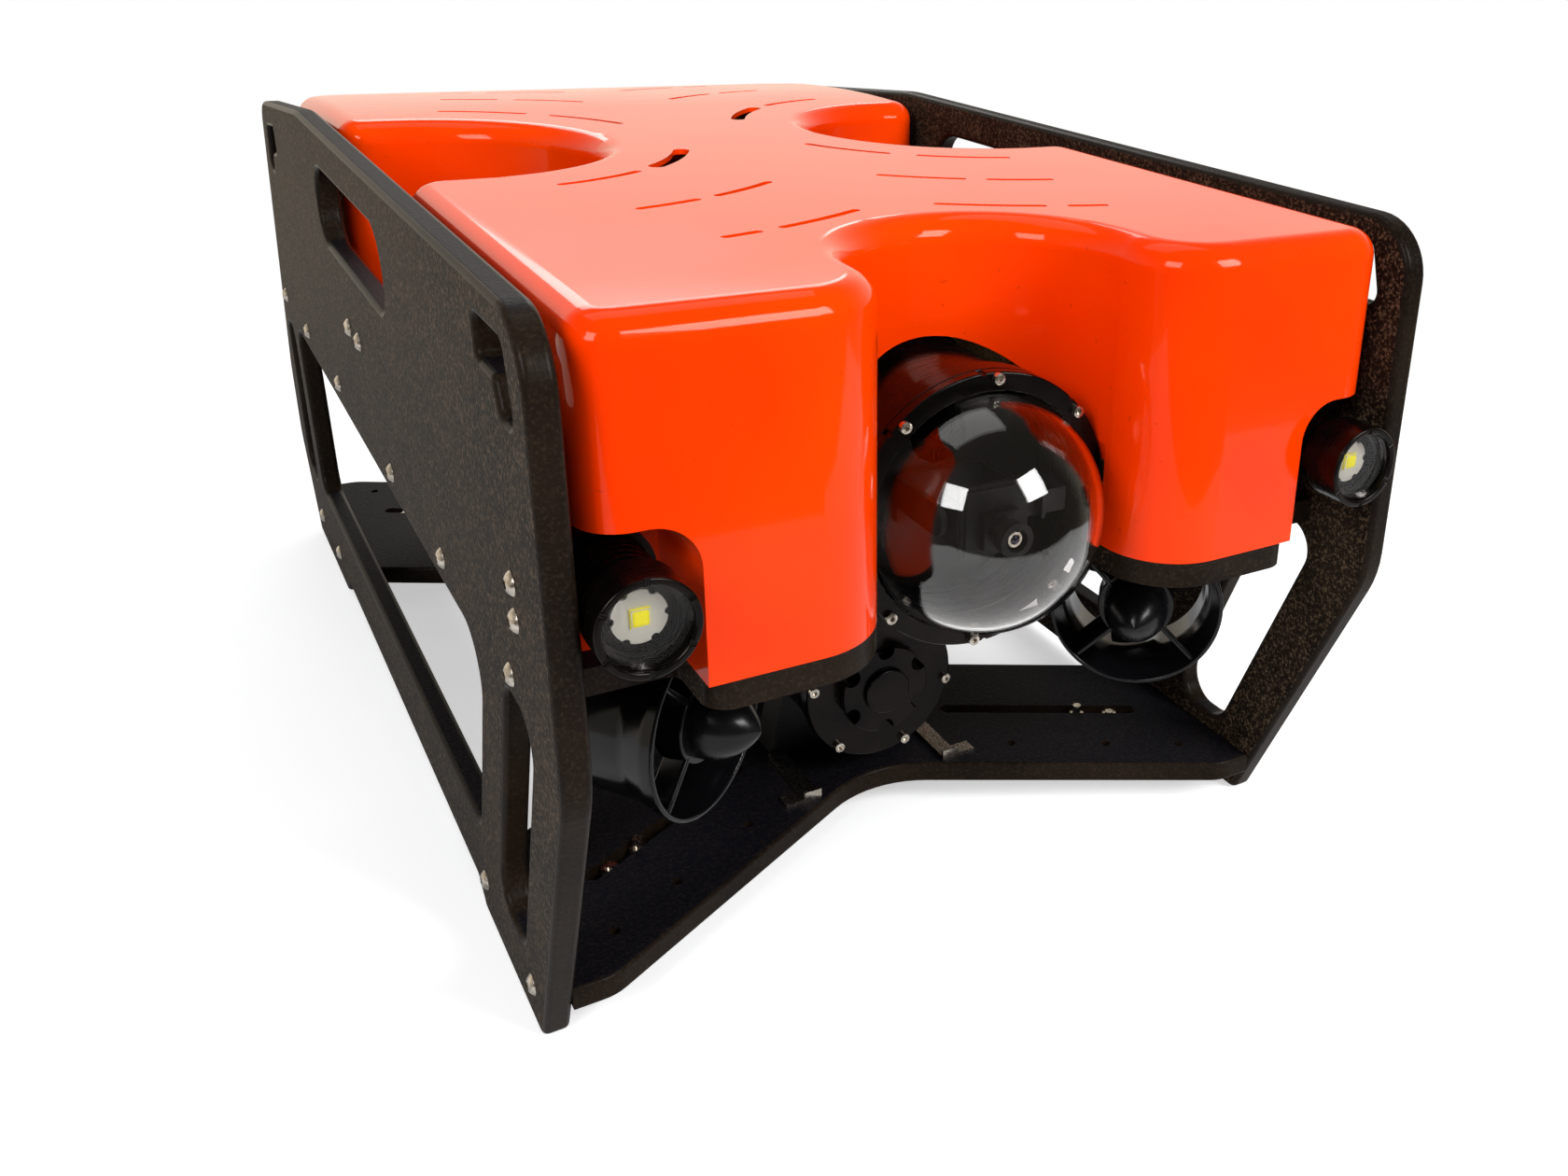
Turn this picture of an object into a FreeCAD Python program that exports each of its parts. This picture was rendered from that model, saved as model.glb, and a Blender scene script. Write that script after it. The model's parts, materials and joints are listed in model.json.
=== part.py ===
import FreeCAD, Part
import math
import os

V = FreeCAD.Vector

# Underwater inspection vehicle, open-frame type, in millimetres.
# It stands on the feet of its side panels: +Z is up and the dome looks along -Y.
# The origin is on the floor, under the middle of the whole vehicle.
# "Back" distances are measured from the front edges of the side panels.

# ---------------------------------------------------------------- driving sizes
overall_width = 430.0        # across the two side panels
panel_length = 780.0         # front edge to rear edge of a side panel
panel_height = 364.0
sheet = 12.7                 # half-inch polyethylene sheet of all four frame panels
edge_round = 3.0             # routed round-over on both faces of the side panels
lamp_proud = 10.0            # lamp guards ahead of the side panels' front edges
fit_gap = 0.2                # between pieces that are pushed into one another
seat_gap = 0.1               # radial room round a screw shank or a fixed pin

front_kink_height = 177.0    # where the front edge starts to slope back to the foot
foot_setback = 80.0          # front foot behind the front edge
foot_length = 107.0
foot_rise = 12.0             # lower rail above the floor between the feet
front_top_round = 30.0
rear_slope_length = 266.0    # top edge starts to fall this far before the rear edge
rear_top_setback = 80.0      # upper rear corner before the rear edge
rear_top_drop = 17.0         # fall of the top edge at the rear corner
rear_kink_height = 130.0
rear_foot_height = 72.0
rear_foot_setback = 45.0

rail_top = 58.0              # lower edge of the side windows
window_top = 184.0
window_round = 16.0
slot_width = 44.0            # front slot, along the floor
handle_length = 200.0
handle_height = 44.0
handle_middle_back = 362.0
handle_level = 319.0

base_top = 30.2              # top face of the bottom panel
base_front = 70.0            # back distance of the bottom panel's front corners
base_rear_setback = 25.0     # bottom panel's rear corners before the side panels' rear edge
base_notch = 101.0           # depth of the V at each end of the bottom panel
base_corner_inset = 20.3     # bottom panel's corners from the side panels
base_arm_front = 125.0       # length of the front arm along a side panel
base_arm_rear = 180.0
spine_half_width = 80.0
payload_hole_radius = 2.75
payload_hole_inset = 25.0
payload_hole_halves = (84.0, 134.0, 173.0)
trim_slot_width = 9.0
trim_slot_inset = 70.0
trim_slot_near = 70.0        # half distance between the slots' inner ends
trim_slot_side = 33.3        # outer end of a slot from the side panel

deck_top = 206.3             # top face of the centre panel
hood_front = 8.0
hood_rear_setback = 75.0     # hood's rear before the side panels' rear edge
deck_rear_setback = 38.0     # centre panel's rear before the same edge
hood_below_panel = 4.0       # hood top under the side panels' top edge
hood_rear_drop = 11.0        # fall of the hood's top towards the rear
hood_side_gap = 6.0          # hood to side panel
hood_wall = 3.0
hood_edge_round = 13.0
arch_gap = 1.0               # hood's arch round the dome's clamp ring
dome_bay_radius = 64.0       # U-shaped bay in the hood and the centre panel
dome_bay_depth = 114.0
bay_corner_round = 38.0
thruster_bay_radius = 95.0   # bays in the hood's sides for the vertical thrusters
thruster_bay_inset = 34.3    # bays' centres from the side panels
deck_bay_radius = 60.0       # narrower bays in the centre panel, centre from the side panel
deck_bay_inset = 58.3
lobe_round = 18.0
rear_corner_round = 50.0
deck_corner_round = 10.0
vent_width = 4.5
wide_vent_width = 9.0
vent_first_radius = 140.0
vent_step = 71.5

hull_level = 234.0           # axis of the electronics tube
hull_radius = 63.5
hull_wall = 4.0
hull_front = 72.0
hull_rear_setback = 310.0    # tube's rear end before the side panels' rear edge
flange_radius = 68.0
flange_thickness = 12.0
spigot_length = 18.0
seal_groove = 2.4
dome_radius = 58.5
dome_wall = 3.0
dome_centre_back = 58.0
dome_flange_radius = 62.5
dome_flange_thickness = 2.8
ring_thickness = 6.0
ring_screw_radius = 65.2
ring_screw_count = 8
ring_screw_first = -4.0      # degrees from straight out to port

pack_radius = 41.3           # battery tube
pack_wall = 3.0
pack_clear = 18.0            # battery tube above the bottom panel
pack_cap_radius = 44.6
pack_cap_thickness = 8.0
pack_front = 158.0
pack_rear_setback = 294.0
pack_screw_radius = 41.6
pack_screw_count = 6

duct_mouth_radius = 48.4
duct_throat_radius = 38.9
duct_length = 46.0
duct_lip = 2.4
duct_skin = 3.2
duct_foot_height = 50.5      # thruster axis to the face of the foot
duct_foot_back = 9.0         # foot bolts behind the mouth
duct_foot_length = 17.0
duct_foot_width = 46.0
duct_foot_pitch = 32.0       # between the two foot bolts
vector_spacer = 4.6          # foot to centre panel, horizontal thrusters
lift_spacer = 14.3           # foot to side panel, vertical thrusters
vane_count = 4
vane_thickness = 3.4
vane_length = 16.0
vane_hub_wall = 3.0
vane_turn = 18.0             # degrees from the axis
motor_radius = 18.0
motor_length = 17.0
cone_length = 28.0
shaft_radius = 2.5
shaft_running_gap = 0.05
rotor_gap = 1.0
rotor_length = 26.0
rotor_nose = 16.0
blade_count = 3
blade_tip_gap = 1.2
blade_pitch = 110.0          # advance of the blade's face in one turn
blade_chord_root = 20.0
blade_chord_middle = 30.0
blade_chord_tip = 22.0
blade_thickness_root = 3.6
blade_thickness_tip = 1.4

vector_angle = 38.0          # horizontal thrusters, turned in from fore and aft
vector_inset = 78.3          # mouth centres of the horizontal thrusters from the side panels
vector_front_back = 90.7
lift_foot_level = 258.0      # foot bolts of the vertical thrusters

lamp_side_gap = 1.2          # lamp guard to side panel
lamp_level = 247.0
lamp_radius = 17.6
lamp_length = 50.0
lamp_guard_wall = 2.8
lamp_lip_radius = 17.3
lamp_room_gap = 6.9          # lamp guard to the hood's wall beside it
lamp_bay_rise = 72.0         # top of the lamp bays above the centre panel
lamp_bay_depth = 60.0
deck_lamp_setback = 45.0     # centre panel behind the front beside the lamps

screw_radius = 3.0           # M6
screw_head_radius = 5.25
screw_head_height = 3.0
screw_length = 28.0
lamp_screw_length = 15.4
lift_screw_length = 34.0
small_screw_radius = 1.5     # M3
small_head_radius = 2.75
small_head_height = 3.0

# ---------------------------------------------------------------- worked-out sizes
panel_front = -(panel_length - lamp_proud) / 2
panel_outer = overall_width / 2
panel_inner = panel_outer - sheet
rear_slope_start = panel_length - rear_slope_length
rear_top_back = panel_length - rear_top_setback
base_rear = panel_length - base_rear_setback
base_shoulder = panel_inner - base_corner_inset
trim_slot_far = panel_inner - trim_slot_side
deck_bottom = deck_top - sheet
base_bottom = base_top - sheet
hood_top = panel_height - hood_below_panel
hood_half = panel_inner - hood_side_gap
hood_rear = panel_length - hood_rear_setback
deck_rear = panel_length - deck_rear_setback
bay_middle_back = (panel_length - lamp_proud) / 2
thruster_bay_centre = panel_inner - thruster_bay_inset
deck_bay_centre = panel_inner - deck_bay_inset
hull_rear = panel_length - hull_rear_setback
pack_rear = panel_length - pack_rear_setback
hull_inner = hull_radius - hull_wall
pack_level = base_top + pack_clear + pack_radius
motor_back = -motor_length - rotor_gap
rotor_radius = motor_radius - 0.6
blade_radius = duct_throat_radius - blade_tip_gap
lift_half = panel_inner - duct_foot_height - lift_spacer
vector_level = deck_bottom - duct_foot_height - vector_spacer
lift_mouth_level = lift_foot_level + duct_foot_back
vector_half = panel_inner - vector_inset
vector_rear_back = 2 * bay_middle_back - vector_front_back
lamp_guard_radius = lamp_radius + fit_gap + lamp_guard_wall
lamp_half = panel_inner - lamp_guard_radius - lamp_side_gap
lamp_bay_half = lamp_half - lamp_guard_radius - lamp_room_gap


def back(distance):
    """Row Y of a place that lies this far behind the side panels' front edges."""
    return panel_front + distance


def hull_at(distance, level=hull_level):
    """Place on the axis of the electronics tube, or above or below it."""
    return V(0, back(distance), level)


# ---------------------------------------------------------------- drawing helpers
def plan(level):
    """Sketch plane parallel to the floor."""
    return lambda p: V(p.x, p.y, level)


def profile(x):
    """Sketch plane of a side view: first value along Y, second along Z."""
    return lambda p: V(x, p.x, p.y)


def section(y):
    """Sketch plane of a front view: first value along X, second along Z."""
    return lambda p: V(p.x, y, p.y)


def rounded_wire(corners, place):
    """Closed wire through (a, b, radius) corners, each rounded by a tangent arc."""
    bends = []
    for index, (a, b, radius) in enumerate(corners):
        after = corners[(index + 1) % len(corners)]
        here = V(a, b, 0)
        to_before = (V(corners[index - 1][0], corners[index - 1][1], 0) - here).normalize()
        to_after = (V(after[0], after[1], 0) - here).normalize()
        half = to_before.getAngle(to_after) / 2
        reach = radius / math.tan(half)
        middle = here + (to_before + to_after).normalize() * (radius / math.sin(half) - radius)
        bends.append((here + to_before * reach, middle, here + to_after * reach, radius))
    edges = []
    for index, (start, middle, end, radius) in enumerate(bends):
        last = bends[index - 1][2]
        if last.distanceToPoint(start) > 0.001:
            edges.append(Part.LineSegment(place(last), place(start)).toShape())
        if radius > 0:
            edges.append(Part.Arc(place(start), place(middle), place(end)).toShape())
    return Part.Wire(edges)


def slab(corners, place, thickness):
    """Rounded outline extruded by a vector."""
    return Part.Face(rounded_wire(corners, place)).extrude(thickness)


def rod(radius, start, end):
    return Part.makeCylinder(radius, start.distanceToPoint(end), start, end - start)


def tube(outer, inner, start, end):
    return rod(outer, start, end).cut(rod(inner, start, end))


def box(low, high):
    size = high - low
    return Part.makeBox(size.x, size.y, size.z, low)


def turned(corners):
    """Solid of revolution about local Z from (radius, height, corner radius) corners."""
    face = Part.Face(rounded_wire(corners, section(0)))
    return face.revolve(V(0, 0, 0), V(0, 0, 1), 360)


def mirrored_pair(shape):
    return Part.makeCompound([shape, shape.mirror(V(0, 0, 0), V(1, 0, 0))])


def fused(shapes):
    return shapes[0].multiFuse(shapes[1:]).removeSplitter() if len(shapes) > 1 else shapes[0]


def group(shapes):
    """Separate solids of one node, such as a set of like screws."""
    return Part.makeCompound(shapes)


def soften(shape, size, wanted):
    """Round-over of the edges that the test picks."""
    edges = [edge for edge in shape.Edges if wanted(edge)]
    return shape.makeFillet(size, edges)


def along(middle, length, direction):
    """End points of a stretch centred on a place."""
    reach = direction * (length / 2)
    return middle - reach, middle + reach


def cap_screw(place, outward, length, radius, head_radius, head_height):
    """Screw with its head's seat at the place and its shank pointing inwards."""
    out = V(outward).normalize()
    head = rod(head_radius, place, place + out * head_height)
    rim = [edge for edge in head.Edges if edge.CenterOfMass.distanceToPoint(place) > head_height / 2]
    rim = [edge for edge in rim if edge.Closed]
    head = head.makeChamfer(head_height * 0.45, rim)
    return head.fuse(rod(radius, place - out * length, place))


def ring_places(radius, count, first, centre):
    """Places on a circle round a Y axis, the first angle in degrees from +X."""
    places = []
    for step in range(count):
        angle = math.radians(first + 360.0 * step / count)
        places.append(centre + V(radius * math.cos(angle), 0, radius * math.sin(angle)))
    return places


# ---------------------------------------------------------------- side panels
deck_screw_backs = (66.0, 191.0, 313.0, panel_length - 296, panel_length - 165, panel_length - 56)
base_screw_backs = (90.0, 178.0, panel_length - 153, panel_length - 73)
lamp_screw_back = 47.0
lamp_screw_pitch = 16.0
lamp_screw_drop = 6.0


def side_panel_outline():
    top = panel_height
    rear = panel_length
    front_heel = foot_setback + foot_length
    rear_toe = rear - rear_foot_setback
    rear_heel = rear_toe - foot_length - 20
    return [
        (back(foot_setback), 0, 6),
        (back(0), front_kink_height, 60),
        (back(0), top, front_top_round),
        (back(rear_slope_start), top, 200),
        (back(rear_top_back), top - rear_top_drop, 26),
        (back(rear), rear_kink_height, 60),
        (back(rear), rear_foot_height, 30),
        (back(rear_toe), 0, 8),
        (back(rear_heel), 0, 4),
        (back(rear_heel - foot_rise), foot_rise, 4),
        (back(front_heel + foot_rise), foot_rise, 4),
        (back(front_heel), 0, 4),
    ]


def front_slope(height):
    """Back distance of the sloping front edge at a height below the kink."""
    return foot_setback * (front_kink_height - height) / front_kink_height


def side_windows():
    """Outlines of the three windows, the handle slot and the two lashing holes."""
    slot_low = 38.0
    slot_top = window_top + 4
    slot_skin = 37.0
    rib = 41.0
    low = front_slope(slot_low) + slot_skin
    high = front_slope(slot_top) + slot_skin + 5
    front_slot = [
        (back(high), slot_top, 15),
        (back(high + slot_width), slot_top, 15),
        (back(low + slot_width), slot_low, 17),
        (back(low), slot_low, 17),
    ]
    window_front_top = high + slot_width + rib
    window_front_low = front_slope(rail_top) + slot_skin + slot_width + rib
    window_rear = panel_length - 92
    middle_window = [
        (back(window_front_top), window_top, 22),
        (back(window_rear), window_top, window_round),
        (back(window_rear - 14), rail_top, window_round),
        (back(window_front_low), rail_top, window_round),
    ]
    rear_slot = [
        (back(window_rear + 24), window_top - 8, 12),
        (back(panel_length - 36), window_top - 8, 12),
        (back(panel_length - 36), rail_top, 12),
        (back(window_rear + 16), rail_top - 8, 12),
    ]
    handle_low = handle_level - handle_height / 2
    handle_front = handle_middle_back - handle_length / 2
    handle_round = handle_height / 2 - 1
    handle_slot = [
        (back(handle_front), handle_low, handle_round),
        (back(handle_front + handle_length), handle_low, handle_round),
        (back(handle_front + handle_length), handle_low + handle_height, handle_round),
        (back(handle_front), handle_low + handle_height, handle_round),
    ]
    eye = panel_height - 14
    front_lashing = [
        (back(68), eye, 4),
        (back(27), eye, 5),
        (back(18), eye - 31, 7),
        (back(37), eye - 31, 7),
        (back(44), eye - 17, 5),
        (back(68), eye - 17, 4),
    ]
    rear_eye = eye - rear_top_drop
    rear_lashing = [
        (back(rear_top_back - 58), rear_eye + 3, 4),
        (back(rear_top_back - 20), rear_eye - 1, 5),
        (back(rear_top_back - 8), rear_eye - 31, 7),
        (back(rear_top_back - 28), rear_eye - 31, 7),
        (back(rear_top_back - 34), rear_eye - 17, 5),
        (back(rear_top_back - 58), rear_eye - 14, 4),
    ]
    return [front_slot, middle_window, rear_slot, handle_slot, front_lashing, rear_lashing]


def side_screw_places():
    """Back distance, height and length of every screw that goes through a side panel."""
    deck_level = deck_top - sheet / 2
    base_level = base_top - sheet / 2
    places = [(distance, deck_level, screw_length) for distance in deck_screw_backs]
    places += [(distance, base_level, screw_length) for distance in base_screw_backs]
    for step in (-1, 1):
        lamp_screw = lamp_level - lamp_screw_drop + step * lamp_screw_pitch / 2
        places.append((lamp_screw_back, lamp_screw, lamp_screw_length))
        foot_screw = bay_middle_back + step * duct_foot_pitch / 2
        places.append((foot_screw, lift_foot_level, lift_screw_length))
    return places


def side_panel(side):
    """Polyethylene side panel; side is -1 for starboard (-X) and 1 for port (+X)."""
    depth = V(sheet, 0, 0)
    panel = slab(side_panel_outline(), profile(panel_inner), depth)
    for window in side_windows():
        panel = panel.cut(slab(window, profile(panel_inner), depth))

    def on_a_face(edge):
        ends = edge.BoundBox
        flat = ends.XLength < 0.01
        return flat and (abs(ends.XMin - panel_inner) < 0.01 or abs(ends.XMin - panel_outer) < 0.01)

    panel = soften(panel, edge_round, on_a_face)
    for distance, level, length in side_screw_places():
        hole = rod(screw_radius + seat_gap, V(panel_inner - 1, back(distance), level),
                   V(panel_outer + 1, back(distance), level))
        panel = panel.cut(hole)
    if side < 0:
        panel = panel.mirror(V(0, 0, 0), V(1, 0, 0))
    return panel


def side_screws():
    """Stainless button-head screws through both side panels."""
    screws = []
    for side in (-1, 1):
        for distance, level, length in side_screw_places():
            seat = V(side * panel_outer, back(distance), level)
            screws.append(cap_screw(seat, V(side, 0, 0), length, screw_radius,
                                    screw_head_radius, screw_head_height))
    return group(screws)


# ---------------------------------------------------------------- bottom panel
def base_slope():
    return base_notch / base_shoulder


def base_front_edge(half):
    """Back distance of the V-shaped front edge at a half width."""
    return base_front + base_notch - base_slope() * half


def base_rear_edge(half):
    return base_rear - base_notch + base_slope() * half


def trim_slot_ends(rear):
    """Inner and outer end of the slot along one arm, as (half width, back distance)."""
    ends = []
    for half in (trim_slot_near, trim_slot_far):
        if rear:
            ends.append((half, base_rear_edge(half) - trim_slot_inset))
        else:
            ends.append((half, base_front_edge(half) + trim_slot_inset))
    return ends


def payload_hole_places():
    places = []
    for half in payload_hole_halves:
        for side in (-1, 1):
            places.append((side * half, base_front_edge(half) + payload_hole_inset))
            places.append((side * half, base_rear_edge(half) - payload_hole_inset))
    return places


def arm_slot(ends, side, low, high):
    """Round-ended slot between two places given as (half width, back distance)."""
    first, last = (V(side * half, back(distance), low) for half, distance in ends)
    run = (last - first).normalize()
    across = V(-run.y, run.x, 0) * (trim_slot_width / 2)
    bulge = run * (trim_slot_width / 2)
    edges = [
        Part.LineSegment(first + across, last + across).toShape(),
        Part.Arc(last + across, last + bulge, last - across).toShape(),
        Part.LineSegment(last - across, first - across).toShape(),
        Part.Arc(first - across, first - bulge, first + across).toShape(),
    ]
    return Part.Face(Part.Wire(edges)).extrude(V(0, 0, high - low))


def bottom_panel():
    """Panel with a V at each end and two large openings beside its spine."""
    arm_front = base_front + base_arm_front
    arm_rear = base_rear - base_arm_rear
    inner_front = arm_front + base_slope() * (panel_inner - spine_half_width)
    inner_rear = arm_rear - base_slope() * (panel_inner - spine_half_width)
    right = [
        (0, base_front_edge(0), 60),
        (base_shoulder, base_front, 24),
        (panel_inner, base_front, 0),
        (panel_inner, arm_front, 6),
        (spine_half_width, inner_front, 24),
        (spine_half_width, inner_rear, 24),
        (panel_inner, arm_rear, 6),
        (panel_inner, base_rear, 0),
        (base_shoulder, base_rear, 24),
        (0, base_rear_edge(0), 60),
    ]
    left = [(-a, b, r) for a, b, r in reversed(right) if a > 0]
    corners = [(a, back(b), r) for a, b, r in right + left]
    panel = slab(corners, plan(base_bottom), V(0, 0, sheet))

    def outside_edge(edge):
        ends = edge.BoundBox
        against_side = abs(ends.XLength) < 0.01 and abs(abs(ends.XMin) - panel_inner) < 0.01
        return ends.ZLength < 0.01 and not against_side

    panel = soften(panel, 2.0, outside_edge)
    for x, distance in payload_hole_places():
        panel = panel.cut(rod(payload_hole_radius, V(x, back(distance), base_bottom - 1),
                              V(x, back(distance), base_top + 1)))
    for side in (-1, 1):
        for rear in (False, True):
            panel = panel.cut(arm_slot(trim_slot_ends(rear), side, base_bottom - 1, base_top + 1))
        for distance in base_screw_backs:
            panel = panel.cut(edge_screw_hole(side, distance, base_top - sheet / 2))
    return panel


def edge_screw_hole(side, distance, level):
    """Blind hole in a panel's edge for a screw through the side panel."""
    reach = screw_length - sheet + 0.5
    start = V(side * (panel_inner + 1), back(distance), level)
    end = V(side * (panel_inner - reach), back(distance), level)
    return rod(screw_radius + seat_gap, start, end)


# ---------------------------------------------------------------- centre panel and hood
def lobed_outline(half, front, rear, inset, deck):
    """Plan outline of the hood and of the centre panel that carries it, front bay first.

    The inset shrinks it evenly, for the hood's inner skin. The centre panel has the
    same dome bay and narrower side bays, steps back beside the lamps and reaches out
    to the side panels.
    """
    bay = dome_bay_radius + inset
    side_bay = (deck_bay_radius if deck else thruster_bay_radius) + inset
    bay_wall = (deck_bay_centre if deck else thruster_bay_centre) - side_bay
    rear_round = deck_corner_round if deck else rear_corner_round
    edge = half - inset
    lobe = max(lobe_round - inset, 1)
    start = front + inset
    right = [
        (bay - 0.2, dome_bay_depth + inset, bay - 0.3),
        (bay + 1, start, bay_corner_round - inset),
    ]
    if deck:
        right += [
            (lamp_bay_half, start, 12),
            (lamp_bay_half, deck_lamp_setback, 6),
            (edge, deck_lamp_setback, 0),
        ]
        mouth_round = 0
    else:
        right += [(edge, start, lobe)]
        mouth_round = lobe
    right += [
        (edge, bay_middle_back - side_bay, mouth_round),
        (bay_wall, bay_middle_back - side_bay, side_bay - 0.1),
        (bay_wall, bay_middle_back + side_bay, side_bay - 0.1),
        (edge, bay_middle_back + side_bay, mouth_round),
        (edge, rear - inset, rear_round - inset),
    ]
    left = [(-a, b, r) for a, b, r in reversed(right)]
    return [(a, back(b), r) for a, b, r in right + left]


def centre_panel():
    """Deck that carries the hood, the electronics tube and the horizontal thrusters."""
    corners = lobed_outline(panel_inner, hood_front, deck_rear, 0, True)
    deck = slab(corners, plan(deck_bottom), V(0, 0, sheet))
    slot_half = dome_bay_radius - 0.2
    slot = [
        (-slot_half, back(hood_front + 60), 0),
        (slot_half, back(hood_front + 60), 0),
        (slot_half, back(hull_rear + 40), 20),
        (-slot_half, back(hull_rear + 40), 20),
    ]
    deck = deck.cut(slab(slot, plan(deck_bottom), V(0, 0, sheet)))
    for side in (-1, 1):
        for distance in deck_screw_backs:
            deck = deck.cut(edge_screw_hole(side, distance, deck_top - sheet / 2))
    for place in vector_screw_places():
        deck = deck.cut(rod(screw_radius + seat_gap, place - V(0, 0, sheet + 1), place + V(0, 0, 1)))
    for half, distance in hood_post_places:
        for side in (-1, 1):
            seat = V(side * half, back(distance), deck_bottom)
            above = V(0, 0, sheet + 1)
            deck = deck.cut(rod(small_screw_radius + seat_gap, seat - V(0, 0, 1), seat + above))
    return deck


def hood_skin(inset):
    """Hood as a filled form: lobed plan, rounded top edge, top falling to the rear."""
    corners = lobed_outline(hood_half, hood_front, hood_rear, inset, False)
    block = slab(corners, plan(deck_top), V(0, 0, hood_top - deck_top + 20))
    top = hood_top - inset
    fall = hood_rear - rear_slope_start
    end = V(0, back(hood_rear + 60), top - hood_rear_drop * ((fall + 60) / fall) ** 2)
    bend = V(0, back(hood_rear), top - hood_rear_drop)
    start = V(0, back(rear_slope_start), top)
    nose = V(0, back(-50), top)
    floor = deck_top - 5
    side = [
        Part.LineSegment(nose, start).toShape(),
        Part.Arc(start, bend, end).toShape(),
        Part.LineSegment(end, V(0, end.y, floor)).toShape(),
        Part.LineSegment(V(0, end.y, floor), V(0, nose.y, floor)).toShape(),
        Part.LineSegment(V(0, nose.y, floor), nose).toShape(),
    ]
    limit = Part.Face(Part.Wire(side))
    limit.translate(V(-overall_width, 0, 0))
    limit = limit.extrude(V(2 * overall_width, 0, 0))
    form = block.common(limit)

    def on_top(edge):
        ends = edge.BoundBox
        inside = abs(ends.XMin) < 1 and abs(ends.XMax) < 1
        crease = ends.YLength < 0.1 and ends.XLength > hood_half
        return ends.ZMin > top - 2 * hood_rear_drop and not inside and not crease

    return soften(form, hood_edge_round - inset, on_top)


def lamp_bay(inset):
    """Block that makes the room for a lamp in each front lower corner of the hood."""
    top = deck_top + lamp_bay_rise + inset
    wall = lamp_bay_half - inset
    corners = [
        (wall, deck_top - 5, 0),
        (wall, top, 20 + inset),
        (panel_inner + 5, top, 0),
        (panel_inner + 5, deck_top - 5, 0),
    ]
    depth = lamp_bay_depth + inset + 10
    return slab(corners, section(back(-10)), V(0, depth, 0))


def arc_slot(centre, radius, width, first, last, low, height):
    """Round-ended slot that follows an arc round a centre; angles in degrees."""
    def at(distance, angle):
        turn = math.radians(angle)
        return V(centre.x + distance * math.cos(turn), centre.y + distance * math.sin(turn), low)

    reach = math.degrees(width / 2 / radius)
    outer = radius + width / 2
    inner = radius - width / 2
    middle = (first + last) / 2
    edges = [
        Part.Arc(at(outer, first), at(outer, middle), at(outer, last)).toShape(),
        Part.Arc(at(outer, last), at(radius, last + reach), at(inner, last)).toShape(),
        Part.Arc(at(inner, last), at(inner, middle), at(inner, first)).toShape(),
        Part.Arc(at(inner, first), at(radius, first - reach), at(outer, first)).toShape(),
    ]
    return Part.Face(Part.Wire(edges)).extrude(V(0, 0, height))


# Spans of the vent slots on each ring round a side bay, in degrees from straight inboard.
vent_spans = (
    ((23, 45), (53, 74)),
    ((50, 62), (66, 75)),
    ((59, 69.5), (72.5, 76)),
)


def vents():
    """Rings of vent slots round both side bays, mirrored fore and aft.

    The nearest slot in front of the starboard bay and behind the port bay is wider.
    """
    slots = []
    for side in (-1, 1):
        centre = V(side * thruster_bay_centre, back(bay_middle_back), 0)
        inboard = 180 if side > 0 else 0
        for ring, spans in enumerate(vent_spans):
            radius = vent_first_radius + ring * vent_step
            for first, last in spans:
                for fore in (-1, 1):
                    turn = fore * side
                    start, end = sorted((inboard - turn * first, inboard - turn * last))
                    wide = (first, last) == vent_spans[0][0] and fore == side
                    width = wide_vent_width if wide else vent_width
                    slots.append(arc_slot(centre, radius, width, start, end, hood_top - 40, 60))
    return slots


post_radius = 8.0
post_height = 20.0
post_rib = 3.0               # thickness of the ribs between posts and walls
post_wall_gap = 26.3         # side posts from the hood's sides
front_post_half = 108.0
rear_post_half = 60.0
hood_post_places = (
    (front_post_half, hood_front + 52),
    (hood_half - post_wall_gap, 240.0),
    (hood_half - post_wall_gap, panel_length - 240),
    (rear_post_half, hood_rear - 35),
)


def hood_posts(room):
    """Screw posts on the deck, each tied by a rib to the nearest wall of the hood.

    The room grows them on every side, for the recesses of the foam blocks.
    """
    pieces = []
    rib = post_rib / 2 + room
    top = V(0, 0, post_height + room)
    for half, distance in hood_post_places:
        for side in (-1, 1):
            foot = V(side * half, back(distance), deck_top)
            pieces.append(rod(post_radius + room, foot, foot + top))
            if half == front_post_half or half == rear_post_half:
                edge = hood_front + 1 if half == front_post_half else hood_rear - 1
                ends = sorted((foot.y, back(edge)))
                high = V(foot.x + rib, ends[1], deck_top) + top
                pieces.append(box(V(foot.x - rib, ends[0], deck_top), high))
            else:
                ends = sorted((foot.x, side * (hood_half - 1)))
                high = V(ends[1], foot.y + rib, deck_top) + top
                pieces.append(box(V(ends[0], foot.y - rib, deck_top), high))
    return pieces


def hood_post_bores():
    bores = []
    for half, distance in hood_post_places:
        for side in (-1, 1):
            foot = V(side * half, back(distance), deck_top)
            end = foot + V(0, 0, post_height - 4)
            bores.append(rod(small_screw_radius + seat_gap, foot - V(0, 0, 1), end))
    return bores


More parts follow.
